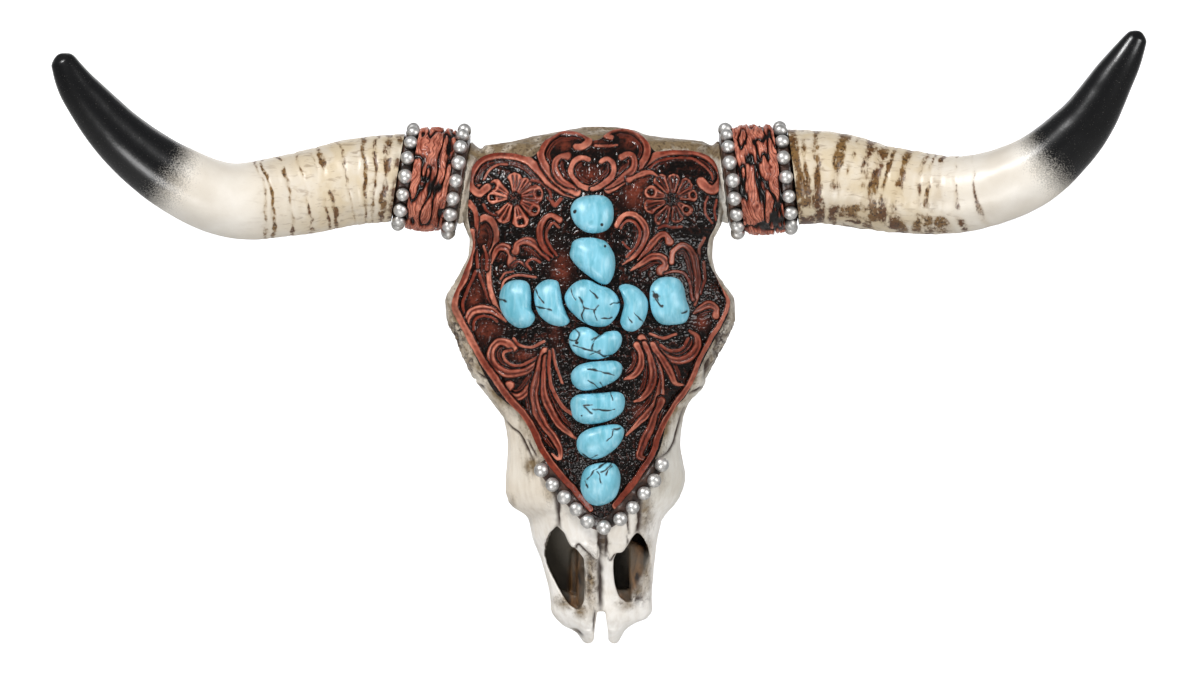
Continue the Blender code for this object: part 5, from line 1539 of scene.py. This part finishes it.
def make_band(side, which, strip_material, bead_material):
    """A ring of beads standing on a dark leather strip."""
    cuff = CUFFS[side]
    direction = cuff_direction(cuff)
    radius = cuff[which + "_band_radius"]
    node = "bead_band_" + side + "_" + which
    steps = np.linspace(-1, 1, BAND_STATIONS)
    centres = np.array([cuff_point(cuff, which, step * BAND_HALF * BAND_SPREAD) for step in steps])
    radii = radius - BAND_SUNK + BAND_CROWN * (1 - np.abs(steps) ** 6)[:, None] + np.zeros(BAND_SIDES)
    directions = np.repeat(direction[None], BAND_STATIONS, axis=0)
    flat = round_sections(centres, directions, radii, turned(BAND_SIDES)).reshape(-1, 3)
    spokes = unit(flat - np.repeat(centres, BAND_SIDES, axis=0))
    flat = flat + spokes * (0.35 * rough_noise(flat, 3.0, 120))[:, None]
    faces = grid_faces(BAND_STATIONS, BAND_SIDES, closed=True) + end_faces(BAND_STATIONS, BAND_SIDES)
    strip = add_object(node + "_strip", flat, faces, "leather", strip_material)
    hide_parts(node)
    random.seed(node)
    count = BEAD_COUNTS[which]
    middle = cuff_point(cuff, which)
    stands = np.full((1, count), radius + BEAD_RISE)
    spots = round_sections(middle[None], direction[None], stands, turned(count))[0]
    outwards = unit(spots - middle)
    spots = spots + direction * np.array([[random.uniform(-BEAD_SHIFT, BEAD_SHIFT)] for _ in range(count)])
    sizes = [BEAD_RADIUS * random.uniform(*BEAD_SIZES) for _ in range(count)]
    bead_set(node + "_beads", spots, outwards, sizes, 130, bead_material, node)


def trim_line(offset, count):
    """Points along the panel's pointed lower edge, moved outwards by an offset."""
    left = spline(PANEL_LEFT, 90)
    right = spline(PANEL_RIGHT, 90)
    edge = np.vstack([left[::-1], spline(PANEL_BOTTOM, 7)[1:-1], right])
    middle = int(edge[:, 1].argmin())
    starts = np.where(np.arange(len(edge)) < middle, TRIM_TOP_LEFT, TRIM_TOP_RIGHT)
    edge = spline(edge[edge[:, 1] < starts][::2], count)
    return grown(edge, -offset)


def make_trim(strip_material, bead_material):
    """The dark strip below the panel's point, and its beads."""
    offsets = np.linspace(TRIM_INNER, TRIM_OUTER, TRIM_STEPS)
    places = np.vstack([trim_line(offset, TRIM_STATIONS) for offset in offsets])
    across = np.repeat(np.linspace(-1, 1, TRIM_STEPS), TRIM_STATIONS)
    along = np.tile(np.linspace(-1, 1, TRIM_STATIONS), TRIM_STEPS)
    edge = (1 - np.abs(across) ** 5) * (1 - np.abs(along) ** 40)
    wander = 0.5 * rough_noise(in_space(places), 4.0, 140)
    lift = -TRIM_SUNK + (TRIM_RISE + TRIM_SUNK) * edge + wander * edge
    points = on_front(places[:, 0], places[:, 1], lift)
    faces = grid_faces(TRIM_STEPS, TRIM_STATIONS)
    strip = add_object("bead_trim_strip", points, faces, "leather", strip_material)
    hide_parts("bead_trim")
    random.seed("bead_trim")
    spots = from_photo(TRIM_BEADS)
    lifts = np.full(len(spots), TRIM_BEAD_LIFT)
    centres = on_front(spots[:, 0], spots[:, 1], lifts)
    outwards = centres - on_front(spots[:, 0], spots[:, 1], lifts - 1)
    sizes = [TRIM_BEAD_RADIUS * random.uniform(*BEAD_SIZES) for _ in spots]
    bead_set("bead_trim_beads", centres, outwards, sizes, 150, bead_material, "bead_trim")


# Room and camera

def make_sheet(name, corners, material):
    """A plain four-sided sheet of the room."""
    mesh = bpy.data.meshes.new(name)
    mesh.from_pydata(corners, [], [(0, 1, 2, 3)])
    mesh.materials.append(material)
    sheet = bpy.data.objects.new(name, mesh)
    bpy.context.scene.collection.objects.link(sheet)
    return sheet


def make_floor():
    paint = Paint("floor_paint", Roughness=0.7)
    material = paint.finish(paint.mix(paint.patches(6.0, 0.3, 0.7), rgb(236, 235, 233), rgb(242, 241, 239)))
    half, level = FLOOR_HALF, FLOOR_LEVEL
    corners = [(-half, -half, level), (half, -half, level), (half, half, level), (-half, half, level)]
    floor = make_sheet("floor", corners, material)


def make_backdrop():
    """A white sheet well behind the plaque, so that views from behind stay clear."""
    white = (1, 1, 1, 1)
    paint = Paint("backdrop_paint", Base_Color=white, Roughness=1.0, Emission_Color=white,
                  Emission_Strength=1.0)
    half, away = BACKDROP_HALF, BACKDROP_AWAY
    corners = [(-half, away, -half), (half, away, -half), (half, away, half), (-half, away, half)]
    backdrop = make_sheet("backdrop", corners, paint.material)


def add_light(name, place, size, power):
    """A round soft light that faces the plaque."""
    light = bpy.data.lights.new(name, "AREA")
    light.shape = "DISK"
    light.size = size
    light.energy = power
    lamp = bpy.data.objects.new(name, light)
    lamp.location = place
    lamp.rotation_mode = "QUATERNION"
    lamp.rotation_quaternion = (-Vector(place)).to_track_quat("-Z", "Y")
    bpy.context.scene.collection.objects.link(lamp)


def make_room():
    world = bpy.data.worlds.new("studio")
    world.use_nodes = True
    background = world.node_tree.nodes["Background"]
    background.inputs["Color"].default_value = WORLD_COLOUR
    background.inputs["Strength"].default_value = WORLD_STRENGTH
    bpy.context.scene.world = world
    for light in LIGHTS:
        add_light(*light)
    bpy.context.scene.view_settings.view_transform = "Standard"


def make_camera():
    """Look at the plaque from the front, so that a pixel at its mid depth is as long as PIXEL says."""
    aim = (MIDDLE_PIXEL[1] - PICTURE[1] / 2) * PIXEL * MM
    data = bpy.data.cameras.new("camera")
    data.lens = data.sensor_width * CAMERA_AWAY / (PICTURE[0] * PIXEL * MM)
    camera = bpy.data.objects.new("camera", data)
    camera.location = (0.0, -CAMERA_AWAY - MID_DEPTH, aim)
    camera.rotation_euler = (math.pi / 2, 0.0, 0.0)
    bpy.context.scene.collection.objects.link(camera)
    bpy.context.scene.camera = camera


def main():
    leather, strip, pewter = leather_paint(), strip_paint(), pewter_paint()
    horn, turquoise = horn_paint(), turquoise_paint()
    make_skull(bone_paint())
    make_panel(leather)
    for name, outline in STONES.items():
        make_stone(name, outline, turquoise)
    for side in CUFFS:
        make_horn(side, horn)
        make_wrap(side, leather)
        for which in BEAD_COUNTS:
            make_band(side, which, strip, pewter)
    make_trim(strip, pewter)
    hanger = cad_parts["hanger"].data
    hanger.materials.clear()
    hanger.materials.append(steel_paint())
    make_floor()
    make_backdrop()
    make_room()
    make_camera()


main()
